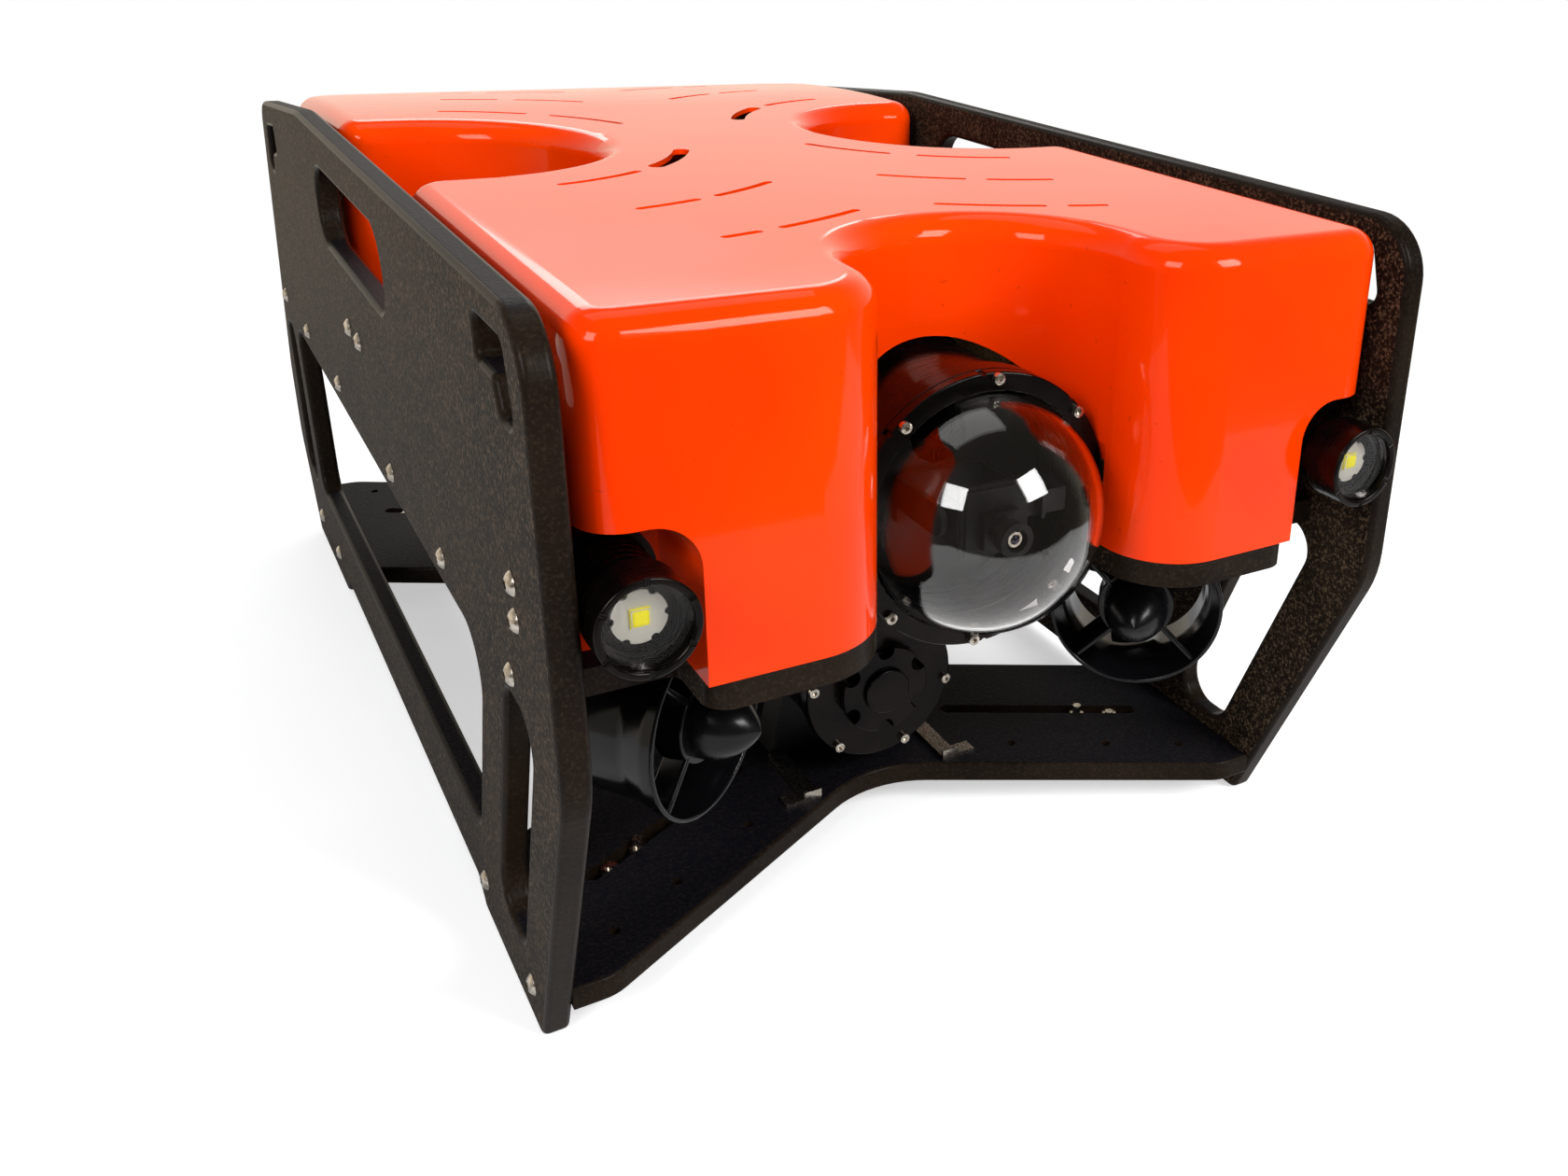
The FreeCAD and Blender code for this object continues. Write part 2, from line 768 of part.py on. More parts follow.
def hood():
    """One-piece moulded shell with bays, lamp rooms, vents and screw posts."""
    outer = hood_skin(0).cut(mirrored_pair(lamp_bay(0)))
    inner = hood_skin(hood_wall).cut(mirrored_pair(lamp_bay(hood_wall)))
    high = V(overall_width, back(panel_length), hood_top + 40)
    inner = inner.cut(box(V(-overall_width, back(-50), hood_top), high))
    shell = outer.cut(inner)
    arch_radius = flange_radius + arch_gap
    ring_front = hull_front - flange_thickness - ring_thickness
    axis_front = hull_at(ring_front - small_head_height - 1.5)
    axis_rear = hull_at(dome_bay_depth + 30)
    arch = rod(arch_radius, axis_front, axis_rear)
    legs = box(V(-arch_radius, axis_front.y, deck_top - 1), V(arch_radius, axis_rear.y, hull_level))
    shell = shell.cut(arch.fuse(legs))
    shell = shell.cut(group(vents()))
    return shell.multiFuse(hood_posts(0)).cut(group(hood_post_bores()))


foam_gap = 0.5               # foam blocks to the hood's inner skin
foam_half = 92.0             # half width of the tunnel between the blocks


def buoyancy_foam():
    """Four foam blocks on the centre panel that fill the hood's lobes."""
    inset = hood_wall + foam_gap
    form = hood_skin(inset).cut(mirrored_pair(lamp_bay(inset)))
    below = box(V(-overall_width, back(-50), deck_top - 10), V(overall_width, back(panel_length), deck_top))
    tunnel = box(V(-foam_half, back(-50), deck_top - 10), V(foam_half, back(panel_length), hood_top + 10))
    heads = [rod(screw_head_radius + 2, seat - V(0, 0, 1), seat + V(0, 0, screw_head_height + 2))
             for seat in vector_screw_places()]
    blocks = form.cut(below.fuse(tunnel)).cut(group(hood_posts(1.5))).cut(group(heads))
    return group(blocks.Solids)


def deck_screws():
    """Screws up through the centre panel into the hood's posts, and down into the thrusters' feet."""
    screws = []
    for half, distance in hood_post_places:
        for side in (-1, 1):
            seat = V(side * half, back(distance), deck_bottom)
            screws.append(cap_screw(seat, V(0, 0, -1), sheet + 14, small_screw_radius,
                                    small_head_radius, small_head_height))
    length = sheet + vector_spacer + 7
    for seat in vector_screw_places():
        screws.append(cap_screw(seat, V(0, 0, 1), length, screw_radius, screw_head_radius, screw_head_height))
    return group(screws)


# ---------------------------------------------------------------- electronics hull
def facing_front(shape, distance, level=hull_level, x=0.0):
    """Turn a form made about local Z so that its +Z looks forward, and put it in place."""
    placed = shape.copy()
    placed.rotate(V(0, 0, 0), V(1, 0, 0), 90)
    placed.translate(V(x, back(distance), level))
    return placed


def electronics_tube():
    return tube(hull_radius, hull_inner, hull_at(hull_front), hull_at(hull_rear))


spigot_radius = hull_inner - fit_gap
flange_bore = 54.5
groove_floor = spigot_radius - seal_groove
seal_backs = (6.0, 12.0)     # seal grooves behind the end of the tube


def spigot_with_grooves(length, bore):
    """Turned plug that enters the tube, with two seal grooves; +Z is the flange side."""
    corners = [
        (bore, 0, 0),
        (spigot_radius, 0, 0),
        (spigot_radius, -length, 1.5),
        (bore, -length, 0),
    ]
    plug = turned(corners)
    for depth in seal_backs:
        low = V(0, 0, -depth - seal_groove / 2)
        high = V(0, 0, -depth + seal_groove / 2)
        plug = plug.cut(tube(spigot_radius + 2, groove_floor, low, high))
    return plug


def front_flange():
    """Flange ring that holds the dome at the front of the electronics tube."""
    rim = turned([
        (flange_bore, 0, 0),
        (flange_radius, 0, 0.8),
        (flange_radius, flange_thickness, 0.8),
        (flange_bore, flange_thickness, 1.0),
    ])
    flange = rim.fuse(spigot_with_grooves(spigot_length, flange_bore))
    holes = []
    for place in ring_places(ring_screw_radius, ring_screw_count, ring_screw_first, V(0, 0, 0)):
        hole = V(place.x, place.z, 0)
        end = hole + V(0, 0, flange_thickness + 1)
        holes.append(rod(small_screw_radius + seat_gap, hole + V(0, 0, 2), end))
    return facing_front(flange.cut(group(holes)).removeSplitter(), hull_front)


def dome():
    """Clear hemispherical window with a clamping flange."""
    inner = dome_radius - dome_wall
    half = math.sqrt(0.5)
    foot = dome_centre_back - (hull_front - flange_thickness)
    seat = foot + dome_flange_thickness
    place = section(0)
    edges = [
        Part.Arc(place(V(dome_radius, 0, 0)), place(V(dome_radius * half, dome_radius * half, 0)),
                 place(V(0, dome_radius, 0))).toShape(),
        Part.LineSegment(place(V(0, dome_radius, 0)), place(V(0, inner, 0))).toShape(),
        Part.Arc(place(V(0, inner, 0)), place(V(inner * half, inner * half, 0)),
                 place(V(inner, 0, 0))).toShape(),
    ]
    rest = [(inner, 0), (inner, foot), (dome_flange_radius, foot), (dome_flange_radius, seat),
            (dome_radius, seat), (dome_radius, 0)]
    points = [place(V(a, b, 0)) for a, b in rest]
    for first, last in zip(points, points[1:]):
        if first.distanceToPoint(last) > 0.001:
            edges.append(Part.LineSegment(first, last).toShape())
    shell = Part.Face(Part.Wire(Part.__sortEdges__(edges))).revolve(V(0, 0, 0), V(0, 0, 1), 360)
    return facing_front(shell, dome_centre_back)


def dome_ring():
    """Clamp ring with a screw hole and a small notch in its rim beside each screw."""
    bore = dome_radius + 0.3
    recess = dome_flange_radius + 0.3
    step = dome_flange_thickness + 0.1
    ring = turned([
        (recess, 0, 0),
        (flange_radius, 0, 0.6),
        (flange_radius, ring_thickness, 0.9),
        (bore, ring_thickness, 0.6),
        (bore, step, 0),
        (recess, step, 0),
    ])
    holes = []
    for place in ring_places(ring_screw_radius, ring_screw_count, ring_screw_first, V(0, 0, 0)):
        middle = V(place.x, place.z, 0)
        holes.append(rod(small_screw_radius + seat_gap, middle - V(0, 0, 1), middle + V(0, 0, 8)))
    for place in ring_places(flange_radius + 0.4, ring_screw_count, ring_screw_first + 6, V(0, 0, 0)):
        middle = V(place.x, place.z, -1)
        holes.append(rod(1.7, middle, middle + V(0, 0, 9)))
    return facing_front(ring.cut(group(holes)), hull_front - flange_thickness)


def dome_screws():
    screws = []
    seat_back = hull_front - flange_thickness - ring_thickness
    for place in ring_places(ring_screw_radius, ring_screw_count, ring_screw_first, hull_at(seat_back)):
        screws.append(cap_screw(place, V(0, -1, 0), 12, small_screw_radius, small_head_radius, small_head_height))
    return group(screws)


def tube_seals():
    """Seal rings in the grooves of both spigots."""
    seals = []
    inner = groove_floor + 0.1
    outer = hull_inner - 0.1
    for depth in seal_backs:
        for middle in (hull_front + depth, hull_rear - depth):
            start, end = along(hull_at(middle), seal_groove - 0.2, V(0, 1, 0))
            seals.append(tube(outer, inner, start, end))
    return group(seals)


penetrator_count = 10
penetrator_ring = 47.0
penetrator_thread = 5.0
cap_screw_ring = 63.5
cap_screw_count = 6


def rear_end_cap():
    """Blind cap with a ring of cable glands."""
    plate = turned([(0, 0, 0), (flange_radius, 0, 0.8), (flange_radius, 10, 1.2), (0, 10, 0)])
    cap = plate.fuse(spigot_with_grooves(spigot_length, 52))
    holes = []
    for place in penetrator_places():
        flat = V(place.x, place.z, 0)
        holes.append(rod(penetrator_thread + seat_gap, flat - V(0, 0, 1), flat + V(0, 0, 12)))
    for place in ring_places(cap_screw_ring, cap_screw_count, 30, V(0, 0, 0)):
        flat = V(place.x, place.z, 0)
        holes.append(rod(small_screw_radius + seat_gap, flat - V(0, 0, 4), flat + V(0, 0, 12)))
    solid = cap.cut(group(holes)).removeSplitter()
    return facing_front(solid.mirror(V(0, 0, 0), V(0, 0, 1)), hull_rear)


def penetrator_places(centre=V(0, 0, 0)):
    outer = ring_places(penetrator_ring, penetrator_count, 18, centre)
    return outer + ring_places(22, 4, 45, centre)


def penetrators():
    """Hexagonal cable glands, their potted mouths looking to the rear."""
    glands = []
    face = hull_rear + 10
    for place in penetrator_places(hull_at(face)):
        corners = [(8.0 * math.cos(math.radians(60 * k)) + place.x,
                    8.0 * math.sin(math.radians(60 * k)) + place.z, 0) for k in range(6)]
        hexagon = slab(corners, section(place.y), V(0, 5, 0))
        neck = rod(6.0, place + V(0, 5, 0), place + V(0, 11, 0))
        stem = rod(penetrator_thread, place, place - V(0, 14, 0))
        glands.append(hexagon.fuse(neck).fuse(stem))
    return group(glands)


def cap_screws():
    """Screws of the rear cap and of both battery caps."""
    screws = []
    for place in ring_places(cap_screw_ring, cap_screw_count, 30, hull_at(hull_rear + 10)):
        screws.append(cap_screw(place, V(0, 1, 0), 9.5, small_screw_radius, small_head_radius, small_head_height))
    for face, outward in ((pack_front, -1), (pack_rear, 1)):
        for place in ring_places(pack_screw_radius, pack_screw_count, -9, hull_at(face, pack_level)):
            screws.append(cap_screw(place, V(0, outward, 0), pack_cap_thickness - 1.5, small_screw_radius,
                                    small_head_radius, small_head_height))
    return group(screws)


# ---------------------------------------------------------------- inside the hull
tray_front = hull_front + spigot_length + 8
tray_rear = hull_rear - spigot_length - 8
tray_thickness = 3.0
tray_top = hull_level - 14.0
tray_half = 50.0
disc_radius = hull_inner - 0.3


def electronics_tray():
    """Sheet tray between two end discs inside the tube."""
    low = V(-tray_half, back(tray_front + 4), tray_top - tray_thickness)
    high = V(tray_half, back(tray_rear - 4), tray_top)
    tray = box(low, high)
    front = rod(disc_radius, hull_at(tray_front), hull_at(tray_front + 4))
    window = rod(16, hull_at(tray_front - 1, hull_level + 26), hull_at(tray_front + 5, hull_level + 26))
    rear = rod(disc_radius, hull_at(tray_rear - 4), hull_at(tray_rear))
    exit_hole = rod(20, hull_at(tray_rear - 5, hull_level + 20), hull_at(tray_rear + 1, hull_level + 20))
    return fused([front.cut(window), tray, rear.cut(exit_hole)])


board_first = 52.0            # first board behind the tray's front disc
board_pitch = 90.0
board_count = 3
board_length = 76.0
board_half = 34.0
board_rise = 8.0
board_thickness = 1.6


def control_boards():
    """Three circuit boards on spacers with their larger parts."""
    boards = []
    for index in range(board_count):
        start = tray_front + board_first + index * board_pitch
        low = tray_top + board_rise
        far = V(board_half, back(start + board_length), low + board_thickness)
        plate = box(V(-board_half, back(start), low), far)
        pieces = [plate]
        for x in (-board_half + 5, board_half - 5):
            for y in (start + 5, start + board_length - 5):
                foot = V(x, back(y), tray_top)
                pieces.append(rod(2.5, foot, foot + V(0, 0, board_rise)))
        top = low + board_thickness
        chip_half = 12 + 3 * index
        pieces.append(box(V(-chip_half, back(start + 14), top), V(chip_half, back(start + 38), top + 5)))
        pieces.append(box(V(-28, back(start + 48), top), V(28, back(start + 60), top + 9)))
        boards.append(fused(pieces))
    return group(boards)


controller_pitch = 15.0
controller_length = 70.0
controller_setback = 114.0    # controllers' rear ends before the tray's rear disc


def motor_controllers():
    """Six motor controllers standing side by side under the tray."""
    blocks = []
    for index in range(6):
        middle = (index - 2.5) * controller_pitch
        rise = 18.0 if abs(middle) < 30 else 11.0
        rear = tray_rear - controller_setback
        low = V(middle - 4, back(rear - controller_length), tray_top - tray_thickness - rise)
        high = V(middle + 4, back(rear), tray_top - tray_thickness)
        blocks.append(box(low, high))
    return group(blocks)


def collar(axis_level, radius, wall, start, length):
    """Round clamp ring about a tube that lies along Y."""
    first = hull_at(start, axis_level)
    last = hull_at(start + length, axis_level)
    return rod(radius + wall, first, last), rod(radius + 0.15, first, last)


tube_saddle_backs = (hull_front + 98, hull_rear - 30)
saddle_width = 20.0


def tube_saddles():
    """Two clamp rings on the centre panel for the electronics tube."""
    saddles = []
    for start in tube_saddle_backs:
        ring, bore = collar(hull_level, hull_radius, 4.0, start, saddle_width)
        feet = box(V(-86, back(start), deck_top), V(86, back(start + saddle_width), deck_top + 7))
        gap = box(V(-46, back(start) - 1, deck_top - 10), V(46, back(start + saddle_width) + 1, deck_top + 8))
        body = ring.fuse(feet.cut(gap)).cut(bore)
        through = box(V(-90, back(start) - 1, deck_bottom - 40), V(90, back(start + saddle_width) + 1, deck_top))
        slot_clear = dome_bay_radius - 1.2
        keep = box(V(-slot_clear, back(start) - 1, deck_bottom - 40),
                   V(slot_clear, back(start + saddle_width) + 1, deck_top))
        saddles.append(body.cut(through.cut(keep)).removeSplitter())
    return group(saddles)


# ---------------------------------------------------------------- tilting camera
tilt_pin_radius = 3.0
tilt_arm_half = 22.0
tilt_arm_thickness = 3.0
cheek_outer = 19.0
cheek_thickness = 3.0
tilt_axis = hull_at(dome_centre_back)
camera_plate = 36.0
camera_plate_front = 13.0
lens_drop = 3.0
lens_reach = 33.0


def camera_bracket():
    """Fork from the tray's front disc that carries the tilting camera."""
    bridge_back = tray_front - 4
    low = V(-tilt_arm_half - tilt_arm_thickness, back(bridge_back), hull_level - 16)
    high = V(tilt_arm_half + tilt_arm_thickness, back(tray_front), hull_level + 8)
    fork = [box(low, high)]
    for side in (-1, 1):
        inner = side * tilt_arm_half
        outer = side * (tilt_arm_half + tilt_arm_thickness)
        arm = [
            (tilt_axis.y - 8, hull_level - 8, 7.8),
            (back(bridge_back + 1), hull_level - 8, 0),
            (back(bridge_back + 1), hull_level + 8, 0),
            (tilt_axis.y - 8, hull_level + 8, 7.8),
        ]
        fork.append(slab(arm, profile(inner), V(outer - inner, 0, 0)))
    start = tilt_axis - V(tilt_arm_half + 1, 0, 0)
    fork.append(rod(tilt_pin_radius, start, tilt_axis - V(cheek_outer - cheek_thickness, 0, 0)))
    body = fused(fork)
    hole = rod(tilt_pin_radius + 1, tilt_axis + V(tilt_arm_half - 1, 0, 0), tilt_axis + V(tilt_arm_half + 6, 0, 0))
    return body.cut(hole)


def tilt_servo():
    """Small servo on the port arm; its output pin carries the cradle."""
    inner = tilt_arm_half + tilt_arm_thickness
    case = box(V(inner, tilt_axis.y - 6, hull_level - 6), V(inner + 20, tilt_axis.y + 17, hull_level + 6))
    ears = box(V(inner + 3, tilt_axis.y - 11, hull_level - 6), V(inner + 5, tilt_axis.y + 22, hull_level + 6))
    start = tilt_axis + V(cheek_outer - cheek_thickness, 0, 0)
    pin = rod(tilt_pin_radius, start, tilt_axis + V(inner + 2, 0, 0))
    return fused([case, ears, pin])


def camera_cradle():
    """Board carrier with two cheeks that turn on the tilt pins."""
    half = camera_plate / 2
    front = tilt_axis.y - camera_plate_front
    parts = [box(V(-half, front, hull_level - half), V(half, front + 3, hull_level + half))]
    for side in (-1, 1):
        outer = side * cheek_outer
        inner = side * (cheek_outer - cheek_thickness)
        cheek = [
            (front + 1, hull_level - 9, 0),
            (tilt_axis.y + 7, hull_level - 9, 6),
            (tilt_axis.y + 7, hull_level + 9, 6),
            (front + 1, hull_level + 9, 0),
        ]
        parts.append(slab(cheek, profile(inner), V(outer - inner, 0, 0)))
    cradle = fused(parts)
    bore = rod(tilt_pin_radius + shaft_running_gap, tilt_axis - V(30, 0, 0), tilt_axis + V(30, 0, 0))
    return cradle.cut(bore)


def camera():
    """Camera board and lens barrel on the front of the cradle."""
    front = tilt_axis.y - camera_plate_front
    half = camera_plate / 2 - 2
    board = box(V(-half, front - 1.6, hull_level - half), V(half, front, hull_level + half))
    axis = V(0, front - 1.6, hull_level - lens_drop)
    mount = box(axis - V(9, 5, 9), axis + V(9, 0, 9))
    tip = tilt_axis.y - lens_reach
    barrel = rod(7.0, V(0, tip + 6, axis.z), axis - V(0, 4, 0))
    rim = tube(8.5, 5.5, V(0, tip, axis.z), V(0, tip + 7, axis.z))
    return fused([board, mount, barrel, rim])


# ---------------------------------------------------------------- battery
pack_tube_front = pack_front + pack_cap_thickness
pack_tube_rear = pack_rear - pack_cap_thickness
pack_inner = pack_radius - pack_wall
plug_radius = 26.0
plug_notch_radius = 19.0
plug_centre_radius = 13.5


def battery_tube():
    return tube(pack_radius, pack_inner, hull_at(pack_tube_front, pack_level), hull_at(pack_tube_rear, pack_level))


def battery_cap():
    """Turned cap with its plug; +Z is the outer face."""
    cap = turned([
        (0, -18, 0),
        (pack_inner - fit_gap, -18, 1.5),
        (pack_inner - fit_gap, 0, 0),
        (pack_cap_radius, 0, 0.8),
        (pack_cap_radius, pack_cap_thickness, 1.5),
        (0, pack_cap_thickness, 0),
    ])
    holes = []
    for place in ring_places(pack_screw_radius, pack_screw_count, -9, V(0, 0, 0)):
        flat = V(place.x, place.z, 1)
        holes.append(rod(small_screw_radius + seat_gap, flat, flat + V(0, 0, 12)))
    return cap.cut(group(holes))


def battery_front_cap():
    bore = rod(plug_centre_radius + 0.15, V(0, 0, 1), V(0, 0, 30))
    return facing_front(battery_cap().cut(bore), pack_tube_front, pack_level)


def battery_rear_cap():
    cap = battery_cap()
    gland = rod(penetrator_thread + seat_gap, V(0, 0, -8), V(0, 0, 30))
    cap = cap.cut(gland).mirror(V(0, 0, 0), V(0, 0, 1))
    return facing_front(cap, pack_tube_rear, pack_level)


def battery_plug():
    """Screwed plug with six finger notches and a round centre cap."""
    face = pack_cap_thickness
    crown = turned([(0, face, 0), (plug_radius, face, 0), (plug_radius, face + 7, 1.2), (0, face + 7, 0)])
    notches = []
    for place in ring_places(plug_notch_radius + 5, 6, 30, V(0, 0, 0)):
        flat = V(place.x, place.z, face - 1)
        notches.append(rod(5, flat, flat + V(0, 0, 12)))
    crown = crown.cut(group(notches))
    stem = turned([(0, 1.2, 0), (plug_centre_radius, 1.2, 0), (plug_centre_radius, face + 10, 1.5), (0, face + 10, 0)])
    return facing_front(crown.fuse(stem).removeSplitter(), pack_tube_front, pack_level)


def battery_pack():
    """Bundle of cells in a wrapped block."""
    start = hull_at(pack_tube_front + 24, pack_level)
    end = hull_at(pack_tube_rear - 24, pack_level)
    cells = []
    for angle in range(0, 360, 60):
        turn = math.radians(angle)
        offset = V(19.5 * math.cos(turn), 0, 19.5 * math.sin(turn))
        cells.append(rod(9.6, start + offset, end + offset))
    cells.append(rod(11.5, start, end))
    ends = [rod(31, start, start + V(0, 3, 0)), rod(31, end - V(0, 3, 0), end)]
    feet = [tube(pack_inner - 0.3, 30.5, place, place + V(0, 3, 0)) for place in (start, end - V(0, 3, 0))]
    return fused(cells + ends + feet)


pack_saddle_backs = (pack_front + 48, pack_rear - 86)


def battery_saddles():
    """Two moulded cradles with clamp rings on the bottom panel."""
    saddles = []
    for start in pack_saddle_backs:
        ring, bore = collar(pack_level, pack_radius, 3.5, start, saddle_width)
        corners = [
            (-48, base_top, 2),
            (48, base_top, 2),
            (36, pack_level - 14, 4),
            (-36, pack_level - 14, 4),
        ]
        block = slab(corners, section(back(start)), V(0, saddle_width, 0))
        saddles.append(block.fuse(ring).cut(bore).removeSplitter())
    return group(saddles)


clip_half = 44.0
clip_width = 10.0
clip_length = 52.0
clip_thickness = 2.0
clip_stop_height = 6.0
clip_hook_reach = 16.0


def battery_clips():
    """Stainless strips on the bottom panel, each with a bent-up stop and a hook outboard."""
    clips = []
    end = pack_saddle_backs[0] - 1
    for side in (-1, 1):
        middle = V(side * clip_half, back(end), base_top)
        strip = box(middle - V(clip_width / 2, clip_length, 0), middle + V(clip_width / 2, 0, clip_thickness))
        front = middle - V(0, clip_length, 0)
        stop = box(front - V(clip_width / 2, 0, 0), front + V(clip_width / 2, clip_thickness, clip_stop_height))
        reach = sorted((front.x, front.x + side * clip_hook_reach))
        hook = box(V(reach[0], front.y, base_top), V(reach[1], front.y + 9, base_top + clip_thickness))
        clips.append(fused([strip, stop, hook]))
    return group(clips)


# ---------------------------------------------------------------- thrusters
# Each thruster is drawn about local Z: +Z looks out of the mouth, +Y is the side of its foot.
def thruster_stations():
    """Name, mouth centre, outlook, foot direction, hand and spacer of every thruster."""
    turn = math.radians(vector_angle)
    stations = []
    for end, distance, fore in (("front", vector_front_back, -1), ("rear", vector_rear_back, 1)):
        for name, side in (("port", 1), ("starboard", -1)):
            mouth = V(side * vector_half, back(distance), vector_level)
            outlook = V(-side * math.sin(turn), fore * math.cos(turn), 0)
            stations.append((end + "_" + name, mouth, outlook, V(0, 0, 1), side * fore, vector_spacer))
    for name, side in (("port", 1), ("starboard", -1)):
        mouth = V(side * lift_half, back(bay_middle_back), lift_mouth_level)
        stations.append(("lift_" + name, mouth, V(0, 0, 1), V(side, 0, 0), side, lift_spacer))
    return stations


def stationed(shape, station):
    """Move a thruster piece from its own frame to its place on the vehicle."""
    name, mouth, outlook, foot, hand, spacer = station
    placed = shape if hand > 0 else shape.mirror(V(0, 0, 0), V(1, 0, 0))
    matrix = FreeCAD.Matrix()
    across = foot.cross(outlook)
    matrix.A11, matrix.A12, matrix.A13, matrix.A14 = across.x, foot.x, outlook.x, mouth.x
    matrix.A21, matrix.A22, matrix.A23, matrix.A24 = across.y, foot.y, outlook.y, mouth.y
    matrix.A31, matrix.A32, matrix.A33, matrix.A34 = across.z, foot.z, outlook.z, mouth.z
    moved = placed.copy()
    moved.Placement = FreeCAD.Placement(matrix).multiply(placed.Placement)
    return moved


def thruster_duct():
    """Nozzle with its stator vanes, motor ring and mounting foot."""
    wall = [
        (duct_mouth_radius - duct_lip, 0, 0.9),
        (duct_mouth_radius, 0, 1.1),
        (duct_mouth_radius - 1, -7, 10),
        (duct_throat_radius + duct_skin + 1, -20, 14),
        (duct_throat_radius + duct_skin, -duct_length, 1.0),
        (duct_throat_radius, -duct_length, 1.0),
        (duct_throat_radius, -24, 24),
        (duct_throat_radius + 1.9, -13, 24),
    ]
    nozzle = turned(wall)
    filled = turned([(0, 0, 0)] + wall[1:5] + [(0, -duct_length, 0)])
    ring_outer = motor_radius + fit_gap + vane_hub_wall
    hub = turned([
        (motor_radius + fit_gap, -motor_length, 0),
        (ring_outer, -motor_length, 0.6),
        (ring_outer, -2, 1.2),
        (motor_radius + fit_gap, -2, 0),
    ])
    half = vane_length / 2 - vane_thickness / 2
    stadium = [
        (-vane_thickness / 2, -half - vane_thickness / 2, vane_thickness / 2 - 0.05),
        (vane_thickness / 2, -half - vane_thickness / 2, vane_thickness / 2 - 0.05),
        (vane_thickness / 2, half + vane_thickness / 2, vane_thickness / 2 - 0.05),
        (-vane_thickness / 2, half + vane_thickness / 2, vane_thickness / 2 - 0.05),
    ]
    vane = slab(stadium, profile(motor_radius + 1), V(duct_mouth_radius, 0, 0))
    vane.rotate(V(0, 0, 0), V(1, 0, 0), vane_turn)
    vane.translate(V(0, 0, -motor_length / 2 - 1))
    vanes = []
    for step in range(vane_count):
        spoke = vane.copy()
        spoke.rotate(V(0, 0, 0), V(0, 0, 1), 45 + 360.0 / vane_count * step)
        vanes.append(spoke.common(filled))
    half_width = duct_foot_width / 2
    low = -duct_foot_back - duct_foot_length / 2
    block = box(V(-half_width, 20, low), V(half_width, duct_foot_height, low + duct_foot_length))
    foot = block.cut(filled)
    body = fused([nozzle, hub] + vanes + [foot])
    for x in (-duct_foot_pitch / 2, duct_foot_pitch / 2):
        hole = rod(screw_radius + seat_gap, V(x, duct_foot_height + 1, -duct_foot_back),
                   V(x, duct_foot_height - 9, -duct_foot_back))
        body = body.cut(hole)
    return body


def thruster_motor():
    """Sealed motor with its long nose cone and the shaft."""
    neck = 1.0
    rise = cone_length - 1.2
    bend = (rise ** 2 + (motor_radius - neck) ** 2) / (2 * (motor_radius - neck))
    slope = math.asin(rise / bend)
    place = section(0)
    ogive = []
    for step in range(7):
        turn = slope * step / 6
        ogive.append(place(V(motor_radius - bend + bend * math.cos(turn), bend * math.sin(turn), 0)))
    flank = Part.BSplineCurve()
    flank.interpolate(ogive)
    tip_radius = neck / math.cos(slope)
    tip_middle = rise - tip_radius * math.sin(slope)
    half = math.radians(90) - (math.radians(90) - slope) / 2
    tip = place(V(tip_radius * math.cos(half), tip_middle + tip_radius * math.sin(half), 0))
    nose = place(V(0, tip_middle + tip_radius, 0))
    heel = place(V(0, -motor_length, 0))
    skirt = place(V(motor_radius, -motor_length, 0))
    edges = [
        Part.LineSegment(heel, skirt).toShape(),
        Part.LineSegment(skirt, ogive[0]).toShape(),
        flank.toShape(),
        Part.Arc(ogive[-1], tip, nose).toShape(),
        Part.LineSegment(nose, heel).toShape(),
    ]
    pod = Part.Face(Part.Wire(edges)).revolve(V(0, 0, 0), V(0, 0, 1), 360)
    shaft = rod(shaft_radius, V(0, 0, motor_back - rotor_length + 6), V(0, 0, -motor_length + 1))
    return pod.fuse(shaft)


def blade_section(radius, chord, thickness):
    """Lens section of a blade on a plane square to the blade's length."""
    pitch = math.atan(blade_pitch / (2 * math.pi * radius))
    run = V(0, math.cos(pitch), math.sin(pitch))
    rise = V(0, -math.sin(pitch), math.cos(pitch))
    middle = V(radius, 0, motor_back - rotor_length / 2)
    start = middle - run * (chord / 2)
    end = middle + run * (chord / 2)
    camber = thickness * 0.35
    face = Part.Arc(start, middle + rise * (camber - thickness / 2), end).toShape()
    curve = Part.Arc(end, middle + rise * (camber + thickness / 2), start).toShape()
    return Part.Wire([face, curve])


def thruster_propeller():
    """Rotor hub with three twisted blades."""
    back_end = motor_back - rotor_length
    hub = turned([
        (0, motor_back, 0),
        (rotor_radius, motor_back, 0.6),
        (rotor_radius, back_end, 6),
        (7, back_end - rotor_nose, 5),
        (0, back_end - rotor_nose, 0),
    ])
    sections = [
        blade_section(rotor_radius - 5, blade_chord_root, blade_thickness_root),
        blade_section((rotor_radius + blade_radius) / 2, blade_chord_middle, blade_thickness_root * 0.7),
        blade_section(blade_radius + 2, blade_chord_tip, blade_thickness_tip),
    ]
    blade = Part.makeLoft(sections, True, False)
    limit = rod(blade_radius, V(0, 0, back_end - rotor_nose), V(0, 0, motor_back))
    blade = blade.common(limit)
    blades = []
    for step in range(blade_count):
        turned_blade = blade.copy()
        turned_blade.rotate(V(0, 0, 0), V(0, 0, 1), 360.0 * step / blade_count + 30)
        blades.append(turned_blade)
    rotor = fused([hub] + blades)
    bore_end = motor_back - rotor_length + 5.5
    return rotor.cut(rod(shaft_radius + shaft_running_gap, V(0, 0, bore_end), V(0, 0, motor_back + 1)))


